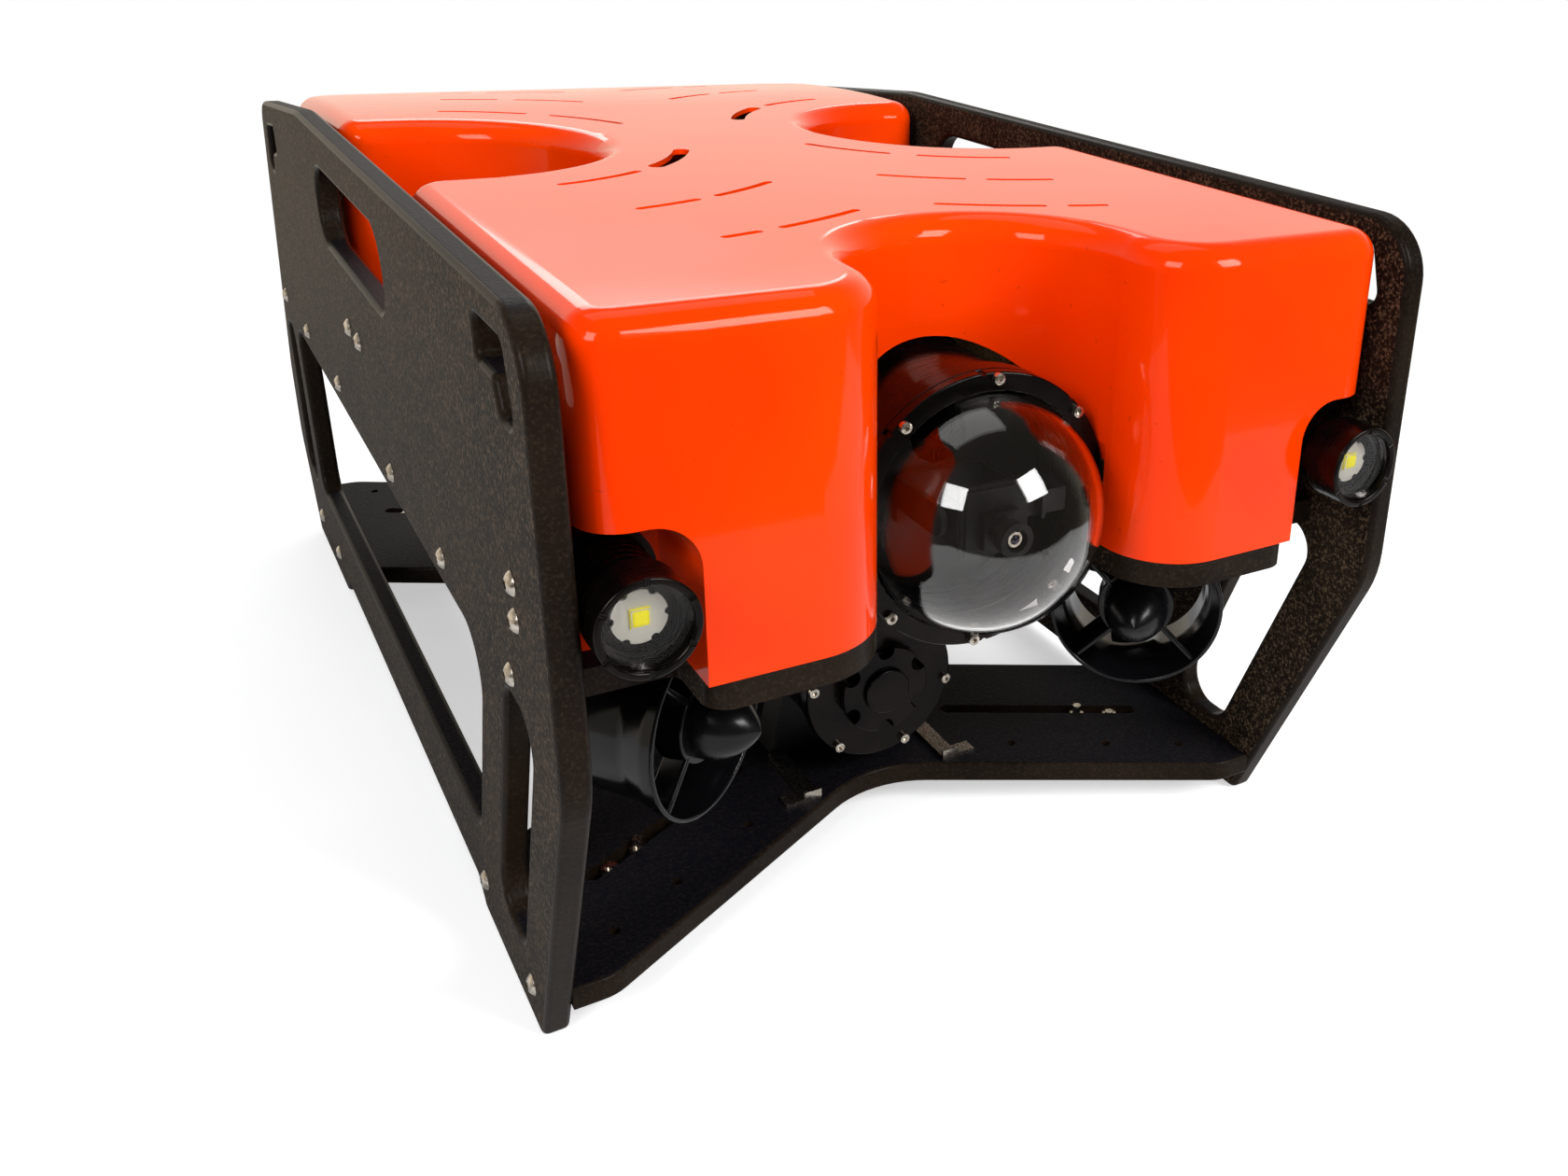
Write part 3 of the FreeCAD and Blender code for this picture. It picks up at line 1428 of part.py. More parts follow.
def vector_screw_places():
    """Seats on the centre panel of the horizontal thrusters' foot bolts."""
    places = []
    for name, mouth, outlook, foot, hand, spacer in thruster_stations():
        if foot.z > 0.5:
            across = foot.cross(outlook)
            for step in (-1, 1):
                seat = mouth - outlook * duct_foot_back + across * (step * duct_foot_pitch / 2)
                places.append(V(seat.x, seat.y, deck_top))
    return places


def thruster_brackets():
    """Spacer blocks between the thrusters' feet and the panels that carry them."""
    blocks = []
    half_width = duct_foot_width / 2
    low = -duct_foot_back - duct_foot_length / 2
    for station in thruster_stations():
        spacer = station[5]
        block = box(V(-half_width, duct_foot_height, low),
                    V(half_width, duct_foot_height + spacer, low + duct_foot_length))
        for x in (-duct_foot_pitch / 2, duct_foot_pitch / 2):
            block = block.cut(rod(screw_radius + seat_gap, V(x, duct_foot_height - 1, -duct_foot_back),
                                  V(x, duct_foot_height + spacer + 1, -duct_foot_back)))
        blocks.append(stationed(block, station))
    return group(blocks)


# ---------------------------------------------------------------- lamps
lamp_lens_thickness = 3.0
lamp_lip = 3.0
lamp_cup_depth = 14.0         # board's seat behind the front of the guard
lamp_board_radius = 11.0
emitter_half = 3.6


def lamp_guard():
    """Smooth guard ring round the lens; local +Z looks forward, zero at its front."""
    guard = turned([
        (lamp_lip_radius, -lamp_lip, 0),
        (lamp_lip_radius, 0, 1.2),
        (lamp_guard_radius, 0, 1.0),
        (lamp_guard_radius, -20, 0.6),
        (lamp_radius + fit_gap, -20, 0),
        (lamp_radius + fit_gap, -lamp_lip, 0),
    ])
    notches = []
    for place in ring_places(lamp_guard_radius, 6, 30, V(0, 0, 0)):
        outward = V(place.x, place.z, 0).normalize()
        middle = V(place.x, place.z, 0.5)
        notches.append(rod(1.5, middle - outward * 8, middle + outward * 8))
    return guard.cut(group(notches))


def lamp_lens():
    start = V(0, 0, -lamp_lip - 0.1)
    return rod(lamp_radius - 0.1, start - V(0, 0, lamp_lens_thickness), start)


def lamp_body():
    """Turned lamp housing with cooling grooves and a cable gland."""
    front = -lamp_lip - lamp_lens_thickness - 0.2
    floor = -lamp_cup_depth
    rear = -lamp_proud - lamp_length
    body = turned([
        (0, floor, 0),
        (lamp_radius - 2.6, floor, 0),
        (lamp_radius - 2.6, front, 0),
        (lamp_radius, front, 0.3),
        (lamp_radius, rear, 1.5),
        (0, rear, 0),
    ])
    for index in range(4):
        middle = -27.0 - 5.0 * index
        body = body.cut(tube(lamp_radius + 2, lamp_radius - 3, V(0, 0, middle - 1.2), V(0, 0, middle + 1.2)))
    gland = rod(6.5, V(0, 0, rear - 8), V(0, 0, rear + 1))
    return body.fuse(gland).removeSplitter()


def lamp_board():
    """Star-shaped board with its square emitter."""
    floor = -lamp_cup_depth
    board = rod(lamp_board_radius, V(0, 0, floor), V(0, 0, floor + 1.4))
    for place in ring_places(lamp_board_radius + 0.4, 6, 0, V(0, 0, 0)):
        middle = V(place.x, place.z, floor - 1)
        board = board.cut(rod(1.8, middle, middle + V(0, 0, 4)))
    emitter = box(V(-emitter_half, -emitter_half, floor + 1), V(emitter_half, emitter_half, floor + 3))
    return board.fuse(emitter).removeSplitter()


def lamp_place(shape, side):
    return facing_front(shape, -lamp_proud, lamp_level, side * lamp_half)


def lamp_boards():
    return group([lamp_place(lamp_board(), side) for side in (-1, 1)])


def lamp_brackets():
    """Clamp rings that hold the lamps on the inner faces of the side panels."""
    clamps = []
    for side in (-1, 1):
        start = V(side * lamp_half, back(lamp_screw_back - 5), lamp_level)
        end = start + V(0, 10, 0)
        low = V(min(side * (lamp_half + 12), side * panel_inner), start.y, lamp_level - 20)
        high = V(max(side * (lamp_half + 12), side * panel_inner), end.y, lamp_level + 12)
        clamp = rod(lamp_guard_radius, start, end).fuse(box(low, high))
        clamp = clamp.cut(rod(lamp_radius + fit_gap, start, end))
        for step in (-1, 1):
            level = lamp_level - lamp_screw_drop + step * lamp_screw_pitch / 2
            seat = V(side * panel_inner, back(lamp_screw_back), level)
            clamp = clamp.cut(rod(screw_radius + seat_gap, seat - V(side * 3.2, 0, 0), seat + V(side, 0, 0)))
        clamps.append(clamp)
    return group(clamps)


# ---------------------------------------------------------------- trim ballast
ballast_thickness = 7.0
ballast_width = 20.0
ballast_end = 16.0           # bar past its bolts
ballast_bolt_radius = 2.5
ballast_bolt_insets = (61.3, 43.3)   # bolts from the side panel


def ballast_places(side, rear):
    """Bolt centres along a slot of the bottom panel."""
    places = []
    for inset in ballast_bolt_insets:
        half = panel_inner - inset
        distance = base_rear_edge(half) - trim_slot_inset if rear else base_front_edge(half) + trim_slot_inset
        places.append(V(side * half, back(distance), base_top))
    return places


def ballast_bars():
    """Steel trim bars under the slots of the bottom panel."""
    bars = []
    for side in (-1, 1):
        for rear in (False, True):
            first, last = ballast_places(side, rear)
            run = (last - first).normalize()
            across = V(-run.y, run.x, 0) * (ballast_width / 2)
            start = first - run * ballast_end
            end = last + run * ballast_end
            corners = [start + across, start - across, end - across, end + across]
            outline = [(p.x, p.y, 4) for p in corners]
            bar = slab(outline, plan(base_bottom - ballast_thickness), V(0, 0, ballast_thickness))
            for place in (first, last):
                bar = bar.cut(rod(ballast_bolt_radius + seat_gap, place - V(0, 0, 40), place))
            bars.append(bar)
    return group(bars)


def ballast_bolts():
    """Bolts up through the bars, each with a round nut that slides in the slot."""
    bolts = []
    seat_drop = V(0, 0, sheet + ballast_thickness)
    nut_radius = trim_slot_width / 2 - fit_gap
    for side in (-1, 1):
        for rear in (False, True):
            for place, stand in zip(ballast_places(side, rear), (3.0, -1.0)):
                seat = place - seat_drop
                bolt = cap_screw(seat, V(0, 0, -1), seat_drop.z + stand, ballast_bolt_radius,
                                 screw_head_radius, screw_head_height)
                nut = rod(nut_radius, place - V(0, 0, 6), place - V(0, 0, 2))
                bolts.append(bolt.fuse(nut).removeSplitter())
    return group(bolts)


# ---------------------------------------------------------------- output
def node(name, shape):
    shape.exportStep("parts/" + name + ".step")


os.makedirs("parts", exist_ok=True)

node("side_panel_port", side_panel(1))
node("side_panel_starboard", side_panel(-1))
node("side_screws", side_screws())
node("bottom_panel", bottom_panel())
node("centre_panel", centre_panel())
node("hood", hood())
node("buoyancy_foam", buoyancy_foam())
node("deck_screws", deck_screws())

node("electronics_tube", electronics_tube())
node("front_flange", front_flange())
node("dome", dome())
node("dome_ring", dome_ring())
node("dome_screws", dome_screws())
node("tube_seals", tube_seals())
node("rear_end_cap", rear_end_cap())
node("penetrators", penetrators())
node("cap_screws", cap_screws())
node("electronics_tray", electronics_tray())
node("control_boards", control_boards())
node("motor_controllers", motor_controllers())
node("tube_saddles", tube_saddles())

node("camera_bracket", camera_bracket())
node("tilt_servo", tilt_servo())
node("camera_cradle", camera_cradle())
node("camera", camera())

node("battery_tube", battery_tube())
node("battery_front_cap", battery_front_cap())
node("battery_rear_cap", battery_rear_cap())
node("battery_plug", battery_plug())
node("battery_pack", battery_pack())
node("battery_saddles", battery_saddles())
node("battery_clips", battery_clips())

duct = thruster_duct()
motor = thruster_motor()
propeller = thruster_propeller()
for station in thruster_stations():
    node("thruster_" + station[0] + "_duct", stationed(duct, station))
    node("thruster_" + station[0] + "_motor", stationed(motor, station))
    node("thruster_" + station[0] + "_propeller", stationed(propeller, station))
node("thruster_brackets", thruster_brackets())

for name, side in (("port", 1), ("starboard", -1)):
    node("lamp_body_" + name, lamp_place(lamp_body(), side))
    node("lamp_guard_" + name, lamp_place(lamp_guard(), side))
node("lamp_lenses", group([lamp_place(lamp_lens(), side) for side in (-1, 1)]))
node("lamp_boards", lamp_boards())
node("lamp_brackets", lamp_brackets())
node("ballast_bars", ballast_bars())
node("ballast_bolts", ballast_bolts())
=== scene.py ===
import bpy
import bmesh
import json
import math
from collections import namedtuple
from mathutils import Matrix, Vector


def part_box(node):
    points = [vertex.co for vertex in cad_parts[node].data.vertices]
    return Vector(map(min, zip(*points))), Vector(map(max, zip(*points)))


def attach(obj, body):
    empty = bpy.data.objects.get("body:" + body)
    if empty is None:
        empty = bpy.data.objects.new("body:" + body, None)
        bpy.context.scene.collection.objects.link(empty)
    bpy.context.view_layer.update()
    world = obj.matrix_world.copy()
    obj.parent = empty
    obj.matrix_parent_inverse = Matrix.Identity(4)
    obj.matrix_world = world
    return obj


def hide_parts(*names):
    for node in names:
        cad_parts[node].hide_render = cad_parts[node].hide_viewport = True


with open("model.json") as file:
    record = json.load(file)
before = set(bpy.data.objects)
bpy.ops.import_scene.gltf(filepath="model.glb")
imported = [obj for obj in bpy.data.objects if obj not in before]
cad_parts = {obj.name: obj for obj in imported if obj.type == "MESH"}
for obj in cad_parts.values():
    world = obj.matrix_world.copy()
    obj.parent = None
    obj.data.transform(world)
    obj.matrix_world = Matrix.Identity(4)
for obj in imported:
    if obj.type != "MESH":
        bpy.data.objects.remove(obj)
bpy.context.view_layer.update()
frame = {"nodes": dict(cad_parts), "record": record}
nodes = frame["nodes"]
MM = 0.001
# The body that carries every fixed piece, and the one that tilts with the camera.
ROOT, CAMERA_BODY = "vehicle", "camera_tilt"
WHITE = (1.0, 1.0, 1.0, 1.0)
# Sockets that share their name with others are found by their place in the node.
COLOUR_A, COLOUR_B, MIXED_COLOUR = 6, 7, 2
RANDOM_MAX, RANDOM_VALUE = 3, 1

# ---------------------------------------------------------------- colours, nodes and pieces


def linear(hex_colour):
    """sRGB hex colour as the linear RGBA that shaders take."""
    parts = [int(hex_colour[i:i + 2], 16) / 255 for i in (1, 3, 5)]
    return [c / 12.92 if c < 0.04045 else ((c + 0.055) / 1.055) ** 2.4 for c in parts] + [1.0]


def scale_for(size_mm):
    """Pattern scale on Object coordinates whose features are about this many millimetres wide."""
    return 1 / (size_mm * MM)


def plug(tree, node, inputs):
    """Give inputs a value, a socket, a node for its first output, or a list of such nodes."""
    for key, given in inputs.items():
        several = isinstance(given, list) and isinstance(given[0], bpy.types.Node)
        for value in given if several else [given]:
            if isinstance(value, bpy.types.Node):
                value = value.outputs[0]
            if isinstance(value, bpy.types.NodeSocket):
                tree.links.new(value, node.inputs[key])
            else:
                node.inputs[key].default_value = value


def add(tree, kind, inputs=None, **settings):
    """Add a node with its settings and plug its inputs."""
    node = tree.nodes.new(kind)
    for key, value in settings.items():
        setattr(node, key, value)
    plug(tree, node, inputs or {})
    return node


def new_finish(name, constants):
    """New material with the constants on its shader, and the Object coordinates for its patterns."""
    material = bpy.data.materials.new(name)
    material.use_nodes = True
    tree = material.node_tree
    shader = tree.nodes["Principled BSDF"]
    plug(tree, shader, constants)
    where = add(tree, "ShaderNodeTexCoord").outputs["Object"]
    return material, tree, shader, where


def mesh_object(name, mesh):
    """Put a mesh into the scene as an object at the origin."""
    piece = bpy.data.objects.new(name, mesh)
    bpy.context.collection.objects.link(piece)
    return piece


def mesh_from(form):
    """Turn a bmesh form into a mesh and let the form go."""
    mesh = bpy.data.meshes.new("form")
    form.to_mesh(mesh)
    form.free()
    return mesh


def dress(name, mesh, finish, crease, body):
    """Show a mesh as a piece of one finish that rides a body: smooth, but sharp past a crease in degrees."""
    mesh.name = name
    mesh.materials.clear()
    mesh.materials.append(finish)
    mesh.shade_smooth()
    mesh.set_sharp_from_angle(angle=math.radians(crease))
    piece = mesh_object(name, mesh)
    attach(piece, body)
    return piece


# ---------------------------------------------------------------- finishes


def embossed_polyethylene():
    """Half-inch high-density polyethylene sheet, embossed when rolled, outlines cut with a router.

    The eye gets a brown-black upright face full of small tan glints, which are painted highlights;
    a flat face painted a bluer, quieter black, which is painted light on what is one sheet; and
    plain edges with faint cutter lines. The emboss is drawn near 2 mm, coarser than its real 1 mm,
    so that it shows.
    """
    material, tree, shader, where = new_finish("routed_black_polyethylene_sheet",
                                               {"IOR": 1.54, "Specular IOR Level": 0.05})
    grain_mm, glint_mm, cloud_mm, cutter_mm = 1.7, 1.8, 55.0, 1.2
    tilted, square_on, drawn_out = 0.97, 0.998, 0.02

    # The sheets' faces look along X or Z, and what looks elsewhere is a routed edge. An edge that
    # happens to look along X or Z is dressed as a face.
    normal = add(tree, "ShaderNodeTexCoord").outputs["Normal"]
    normal = add(tree, "ShaderNodeSeparateXYZ", {0: normal})
    side = add(tree, "ShaderNodeMath", {0: normal.outputs["X"]}, operation="ABSOLUTE")
    top = add(tree, "ShaderNodeMath", {0: normal.outputs["Z"]}, operation="ABSOLUTE")
    facing = add(tree, "ShaderNodeMath", {0: side, 1: top}, operation="MAXIMUM")
    face = add(tree, "ShaderNodeMapRange", {"Value": facing, "From Min": tilted, "From Max": square_on})
    upright = add(tree, "ShaderNodeMapRange", {"Value": side, "From Min": tilted, "From Max": square_on,
                                               "To Min": 0.12})
    # Painted light: faces that look up or down are painted a bluer black than the upright faces of the same
    # sheet.
    flat = add(tree, "ShaderNodeMapRange", {"Value": top, "From Min": 0.9, "From Max": 0.99})

    # Painted highlights: tan glints painted into the colour, full on the upright faces and faint elsewhere.
    glint_noise = add(tree, "ShaderNodeTexNoise", {"Vector": where, "Scale": scale_for(glint_mm), "Detail": 3.0,
                                             "Roughness": 0.7})
    glint = add(tree, "ShaderNodeMapRange", {"Value": glint_noise, "From Min": 0.5, "From Max": 0.66,
                                             "To Max": 0.7})
    painted_glint_shown = add(tree, "ShaderNodeMath", {0: glint, 1: upright}, operation="MULTIPLY")
    cloud = add(tree, "ShaderNodeTexNoise", {"Vector": where, "Scale": scale_for(cloud_mm), "Detail": 3.0})
    patch = add(tree, "ShaderNodeMapRange", {"Value": cloud, "From Min": 0.35, "From Max": 0.65})
    warm = add(tree, "ShaderNodeMix", {"Factor": patch, COLOUR_A: linear("#150F0B"),
                                       COLOUR_B: linear("#211912")}, data_type="RGBA")
    # The flat faces take the painted bluer black.
    base = add(tree, "ShaderNodeMix", {"Factor": flat, COLOUR_A: warm.outputs[MIXED_COLOUR],
                                       COLOUR_B: linear("#0E0E14")}, data_type="RGBA")
    colour = add(tree, "ShaderNodeMix", {"Factor": painted_glint_shown, COLOUR_A: base.outputs[MIXED_COLOUR],
                                         COLOUR_B: linear("#6E5C48")}, data_type="RGBA")

    pebble = add(tree, "ShaderNodeTexNoise", {"Vector": where, "Scale": scale_for(grain_mm), "Detail": 2.5,
                                              "Roughness": 0.6})
    bumps = add(tree, "ShaderNodeMath", {0: pebble, 1: face}, operation="MULTIPLY")
    lengthwise = add(tree, "ShaderNodeMapping", {"Vector": where, "Scale": (1.0, drawn_out, drawn_out)})
    cutter = add(tree, "ShaderNodeTexNoise", {"Vector": lengthwise, "Scale": scale_for(cutter_mm),
                                              "Detail": 1.0})
    edge = add(tree, "ShaderNodeMapRange", {"Value": face, "To Min": 0.12, "To Max": 0.0})
    lines = add(tree, "ShaderNodeMath", {0: cutter, 1: edge}, operation="MULTIPLY")
    height = add(tree, "ShaderNodeMath", {0: bumps, 1: lines}, operation="ADD")
    relief = add(tree, "ShaderNodeBump", {"Height": height, "Distance": 0.9 * MM, "Strength": 0.55})
    rough = add(tree, "ShaderNodeMapRange", {"Value": face, "To Min": 0.32, "To Max": 0.55})
    plug(tree, shader, {"Base Color": colour.outputs[MIXED_COLOUR], "Normal": relief, "Roughness": rough})
    return material


def vacuum_formed_hood():
    """Acrylic-capped ABS, vacuum-formed over a male tool.

    The eye gets a saturated orange with a wet gloss, slow waves in the reflections where the sheet
    stretched, and a few dust nibs under the gloss.
    """
    material, tree, shader, where = new_finish("vacuum_formed_orange_abs", {
        "IOR": 1.5, "Coat Weight": 0.24, "Coat Roughness": 0.04, "Specular IOR Level": 0.2,
        "Specular Tint": linear("#FF9060")})
    cloud_mm, nib_mm, wave_mm = 140.0, 2.6, 42.0
    cloud = add(tree, "ShaderNodeTexNoise", {"Vector": where, "Scale": scale_for(cloud_mm)})
    patch = add(tree, "ShaderNodeMapRange", {"Value": cloud, "From Min": 0.35, "From Max": 0.65})
    base = add(tree, "ShaderNodeMix", {"Factor": patch, COLOUR_A: linear("#FF4200"),
                                       COLOUR_B: linear("#FD3600")}, data_type="RGBA")
    nib = add(tree, "ShaderNodeTexNoise", {"Vector": where, "Scale": scale_for(nib_mm), "Detail": 0.0})
    dot = add(tree, "ShaderNodeMapRange", {"Value": nib, "From Min": 0.80, "From Max": 0.86, "To Max": 0.3})
    colour = add(tree, "ShaderNodeMix", {"Factor": dot, COLOUR_A: base.outputs[MIXED_COLOUR],
                                         COLOUR_B: linear("#A02003")}, data_type="RGBA")
    wave = add(tree, "ShaderNodeTexNoise", {"Vector": where, "Scale": scale_for(wave_mm)})
    relief = add(tree, "ShaderNodeBump", {"Height": wave, "Distance": 0.35 * MM, "Strength": 0.15})
    haze = add(tree, "ShaderNodeMapRange", {"Value": cloud, "From Min": 0.3, "From Max": 0.7, "To Min": 0.10,
                                            "To Max": 0.17})
    plug(tree, shader, {"Base Color": colour.outputs[MIXED_COLOUR], "Normal": relief, "Roughness": haze})
    return material


def anodised_aluminium(name, hex_colour, deep_colour):
    """Turned aluminium, anodised and dyed.

    The eye gets a dark satin metal whose dye is a little uneven, with fine turning marks about the
    long axis. The marks are drawn near 0.9 mm apart, coarser than the real 0.1 mm, so that they show.
    """
    material, tree, shader, where = new_finish(name, {"Metallic": 0.8})
    mark_mm, dye_mm, drawn_out = 0.9, 28.0, 0.03
    dye = add(tree, "ShaderNodeTexNoise", {"Vector": where, "Scale": scale_for(dye_mm)})
    patch = add(tree, "ShaderNodeMapRange", {"Value": dye, "From Min": 0.35, "From Max": 0.65})
    base = add(tree, "ShaderNodeMix", {"Factor": patch, COLOUR_A: linear(hex_colour),
                                       COLOUR_B: linear(deep_colour)}, data_type="RGBA")
    ringwise = add(tree, "ShaderNodeMapping", {"Vector": where, "Scale": (drawn_out, 1.0, drawn_out)})
    marks = add(tree, "ShaderNodeTexNoise", {"Vector": ringwise, "Scale": scale_for(mark_mm), "Detail": 1.0})
    rough = add(tree, "ShaderNodeMapRange", {"Value": marks, "From Min": 0.3, "From Max": 0.7, "To Min": 0.2,
                                             "To Max": 0.33})
    relief = add(tree, "ShaderNodeBump", {"Height": marks, "Distance": 0.05 * MM, "Strength": 0.25})
    plug(tree, shader, {"Base Color": base.outputs[MIXED_COLOUR], "Roughness": rough, "Normal": relief})
    return material


def stainless_steel():
    """A4 stainless steel, cold-headed and turned.

    The eye gets bright, slightly warm metal with small dull patches left by handling.
    """
    material, tree, shader, where = new_finish("cold_headed_stainless_steel", {"Metallic": 1.0})
    patch_mm, brush_mm = 3.0, 0.7
    handled = add(tree, "ShaderNodeTexNoise", {"Vector": where, "Scale": scale_for(patch_mm), "Detail": 3.0})
    stain = add(tree, "ShaderNodeMapRange", {"Value": handled, "From Min": 0.35, "From Max": 0.7})
    base = add(tree, "ShaderNodeMix", {"Factor": stain, COLOUR_A: linear("#D3CBC0"),
                                       COLOUR_B: linear("#9A9084")}, data_type="RGBA")
    brush = add(tree, "ShaderNodeTexNoise", {"Vector": where, "Scale": scale_for(brush_mm)})
    rough = add(tree, "ShaderNodeMapRange", {"Value": brush, "From Min": 0.3, "From Max": 0.7, "To Min": 0.16,
                                             "To Max": 0.34})
    plug(tree, shader, {"Base Color": base.outputs[MIXED_COLOUR], "Roughness": rough})
    return material


def galvanised_steel():
    """Mild steel flat bar, dipped in zinc: the eye gets dull blue-grey metal with a cloudy spangle."""
    material, tree, shader, where = new_finish("galvanised_steel_bar", {"Metallic": 1.0})
    spangle_mm = 9.0
    spangle = add(tree, "ShaderNodeTexVoronoi", {"Vector": where, "Scale": scale_for(spangle_mm)})
    patch = add(tree, "ShaderNodeMapRange", {"Value": spangle, "From Min": 0.1, "From Max": 0.7})
    base = add(tree, "ShaderNodeMix", {"Factor": patch, COLOUR_A: linear("#9EA2A4"),
                                       COLOUR_B: linear("#7D8286")}, data_type="RGBA")
    rough = add(tree, "ShaderNodeMapRange", {"Value": patch, "To Min": 0.35, "To Max": 0.5})
    plug(tree, shader, {"Base Color": base.outputs[MIXED_COLOUR], "Roughness": rough})
    return material


def moulded_plastic(name, hex_colour, dust_colour, gloss, texture_mm, depth_mm):
    """Injection-moulded or sintered plastic, as smooth or as grained as its mould or its powder.

    The eye gets one even colour, a sheen that follows the texture, and a little settled dust. The
    gloss is the shader's roughness, and the texture has a width and a depth. The white mask of the
    lamps' boards is built the same way.
    """
    material, tree, shader, where = new_finish(name, {"IOR": 1.58, "Specular IOR Level": 0.22})
    dust_mm, smoother, rougher = 20.0, 0.03, 0.05
    settled = add(tree, "ShaderNodeTexNoise", {"Vector": where, "Scale": scale_for(dust_mm), "Detail": 4.0})
    dust = add(tree, "ShaderNodeMapRange", {"Value": settled, "From Min": 0.5, "From Max": 0.8,
                                            "To Max": 0.3})
    base = add(tree, "ShaderNodeMix", {"Factor": dust, COLOUR_A: linear(hex_colour),
                                       COLOUR_B: linear(dust_colour)}, data_type="RGBA")
    texture = add(tree, "ShaderNodeTexNoise", {"Vector": where, "Scale": scale_for(texture_mm)})
    rough = add(tree, "ShaderNodeMapRange", {"Value": texture, "From Min": 0.3, "From Max": 0.7,
                                             "To Min": gloss - smoother, "To Max": gloss + rougher})
    relief = add(tree, "ShaderNodeBump", {"Height": texture, "Distance": depth_mm * MM, "Strength": 0.4})
    plug(tree, shader, {"Base Color": base.outputs[MIXED_COLOUR], "Roughness": rough, "Normal": relief})
    return material


def clear_acrylic(name, index):
    """Cast acrylic, polished: the eye gets clear, hard-edged gloss with a faint wiped haze."""
    material, tree, shader, where = new_finish(name, {
        "IOR": index, "Transmission Weight": 1.0, "Base Color": linear("#F2F0EE"),
        "Specular IOR Level": 0.36})
    haze_mm = 30.0
    wiped = add(tree, "ShaderNodeTexNoise", {"Vector": where, "Scale": scale_for(haze_mm), "Detail": 3.0})
    haze = add(tree, "ShaderNodeMapRange", {"Value": wiped, "From Min": 0.45, "From Max": 0.75,
                                            "To Max": 0.02})
    plug(tree, shader, {"Roughness": haze})
    return material


def nitrile_rubber():
    """Compression-moulded nitrile rubber: the eye gets a matt, slightly patchy black."""
    material, tree, shader, where = new_finish("moulded_nitrile_rubber", {"IOR": 1.52, "Roughness": 0.7})
    bloom_mm = 2.0
    bloom = add(tree, "ShaderNodeTexNoise", {"Vector": where, "Scale": scale_for(bloom_mm)})
    base = add(tree, "ShaderNodeMix", {"Factor": bloom, COLOUR_A: linear("#141414"),
                                       COLOUR_B: linear("#202020")}, data_type="RGBA")
    plug(tree, shader, {"Base Color": base.outputs[MIXED_COLOUR]})
    return material


def circuit_board():
    """Solder-masked glass-fibre laminate: the eye gets glossy green mask over raised copper runs."""
    material, tree, shader, where = new_finish("green_circuit_board", {"IOR": 1.5, "Roughness": 0.3})
    run_mm = 8.0
    runs = add(tree, "ShaderNodeTexBrick", {"Vector": where, "Scale": scale_for(run_mm), "Mortar Size": 0.03,
                                            "Color1": linear("#0B3A22"), "Color2": linear("#0B3A22"),
                                            "Mortar": linear("#3B7B3F")})
    relief = add(tree, "ShaderNodeBump", {"Height": runs.outputs["Fac"], "Distance": 0.05 * MM,
                                          "Strength": 0.3})
    plug(tree, shader, {"Base Color": runs.outputs["Color"], "Normal": relief})
    return material


def cell_sleeve():
    """PVC sleeve shrunk over the cells: the eye gets glossy blue film with soft lengthwise wrinkles."""
    material, tree, shader, where = new_finish("heat_shrunk_pvc_sleeve", {"IOR": 1.54, "Roughness": 0.25})
    cloud_mm, wrinkle_mm, drawn_out = 30.0, 14.0, 0.2
    cloud = add(tree, "ShaderNodeTexNoise", {"Vector": where, "Scale": scale_for(cloud_mm)})
    base = add(tree, "ShaderNodeMix", {"Factor": cloud, COLOUR_A: linear("#12306E"),
                                       COLOUR_B: linear("#173C86")}, data_type="RGBA")
    lengthwise = add(tree, "ShaderNodeMapping", {"Vector": where, "Scale": (1.0, drawn_out, 1.0)})
    wrinkle = add(tree, "ShaderNodeTexNoise", {"Vector": lengthwise, "Scale": scale_for(wrinkle_mm),
                                               "Detail": 3.0})
    relief = add(tree, "ShaderNodeBump", {"Height": wrinkle, "Distance": 0.5 * MM, "Strength": 0.5})
    plug(tree, shader, {"Base Color": base.outputs[MIXED_COLOUR], "Normal": relief})
    return material


def cut_foam():
    """Closed-cell polyurethane buoyancy foam, bandsawn: the eye gets matt buff with small cut cells."""
    material, tree, shader, where = new_finish("bandsawn_buoyancy_foam", {"IOR": 1.45, "Roughness": 0.85})
    cell_mm = 2.2
    cell = add(tree, "ShaderNodeTexVoronoi", {"Vector": where, "Scale": scale_for(cell_mm)})
    wall = add(tree, "ShaderNodeMapRange", {"Value": cell, "From Min": 0.1, "From Max": 0.6})
    base = add(tree, "ShaderNodeMix", {"Factor": wall, COLOUR_A: linear("#A8905C"),
                                       COLOUR_B: linear("#CDB683")}, data_type="RGBA")
    relief = add(tree, "ShaderNodeBump", {"Height": wall, "Distance": 0.4 * MM, "Strength": 0.6})
    plug(tree, shader, {"Base Color": base.outputs[MIXED_COLOUR], "Normal": relief})
    return material


def coated_glass():
    """Ground and polished lens with a blooming coat: the eye gets near-black depth and a violet glint."""
    material, tree, shader, where = new_finish("bloomed_lens_glass", {
        "IOR": 1.6, "Coat Weight": 1.0, "Coat Tint": linear("#B9A2E8")})
    smear_mm = 3.0
    smear = add(tree, "ShaderNodeTexNoise", {"Vector": where, "Scale": scale_for(smear_mm)})
    base = add(tree, "ShaderNodeMix", {"Factor": smear, COLOUR_A: linear("#050506"),
                                       COLOUR_B: linear("#0C0A12")}, data_type="RGBA")
    rough = add(tree, "ShaderNodeMapRange", {"Value": smear, "To Min": 0.03, "To Max": 0.1})
    plug(tree, shader, {"Base Color": base.outputs[MIXED_COLOUR], "Roughness": rough})
    return material


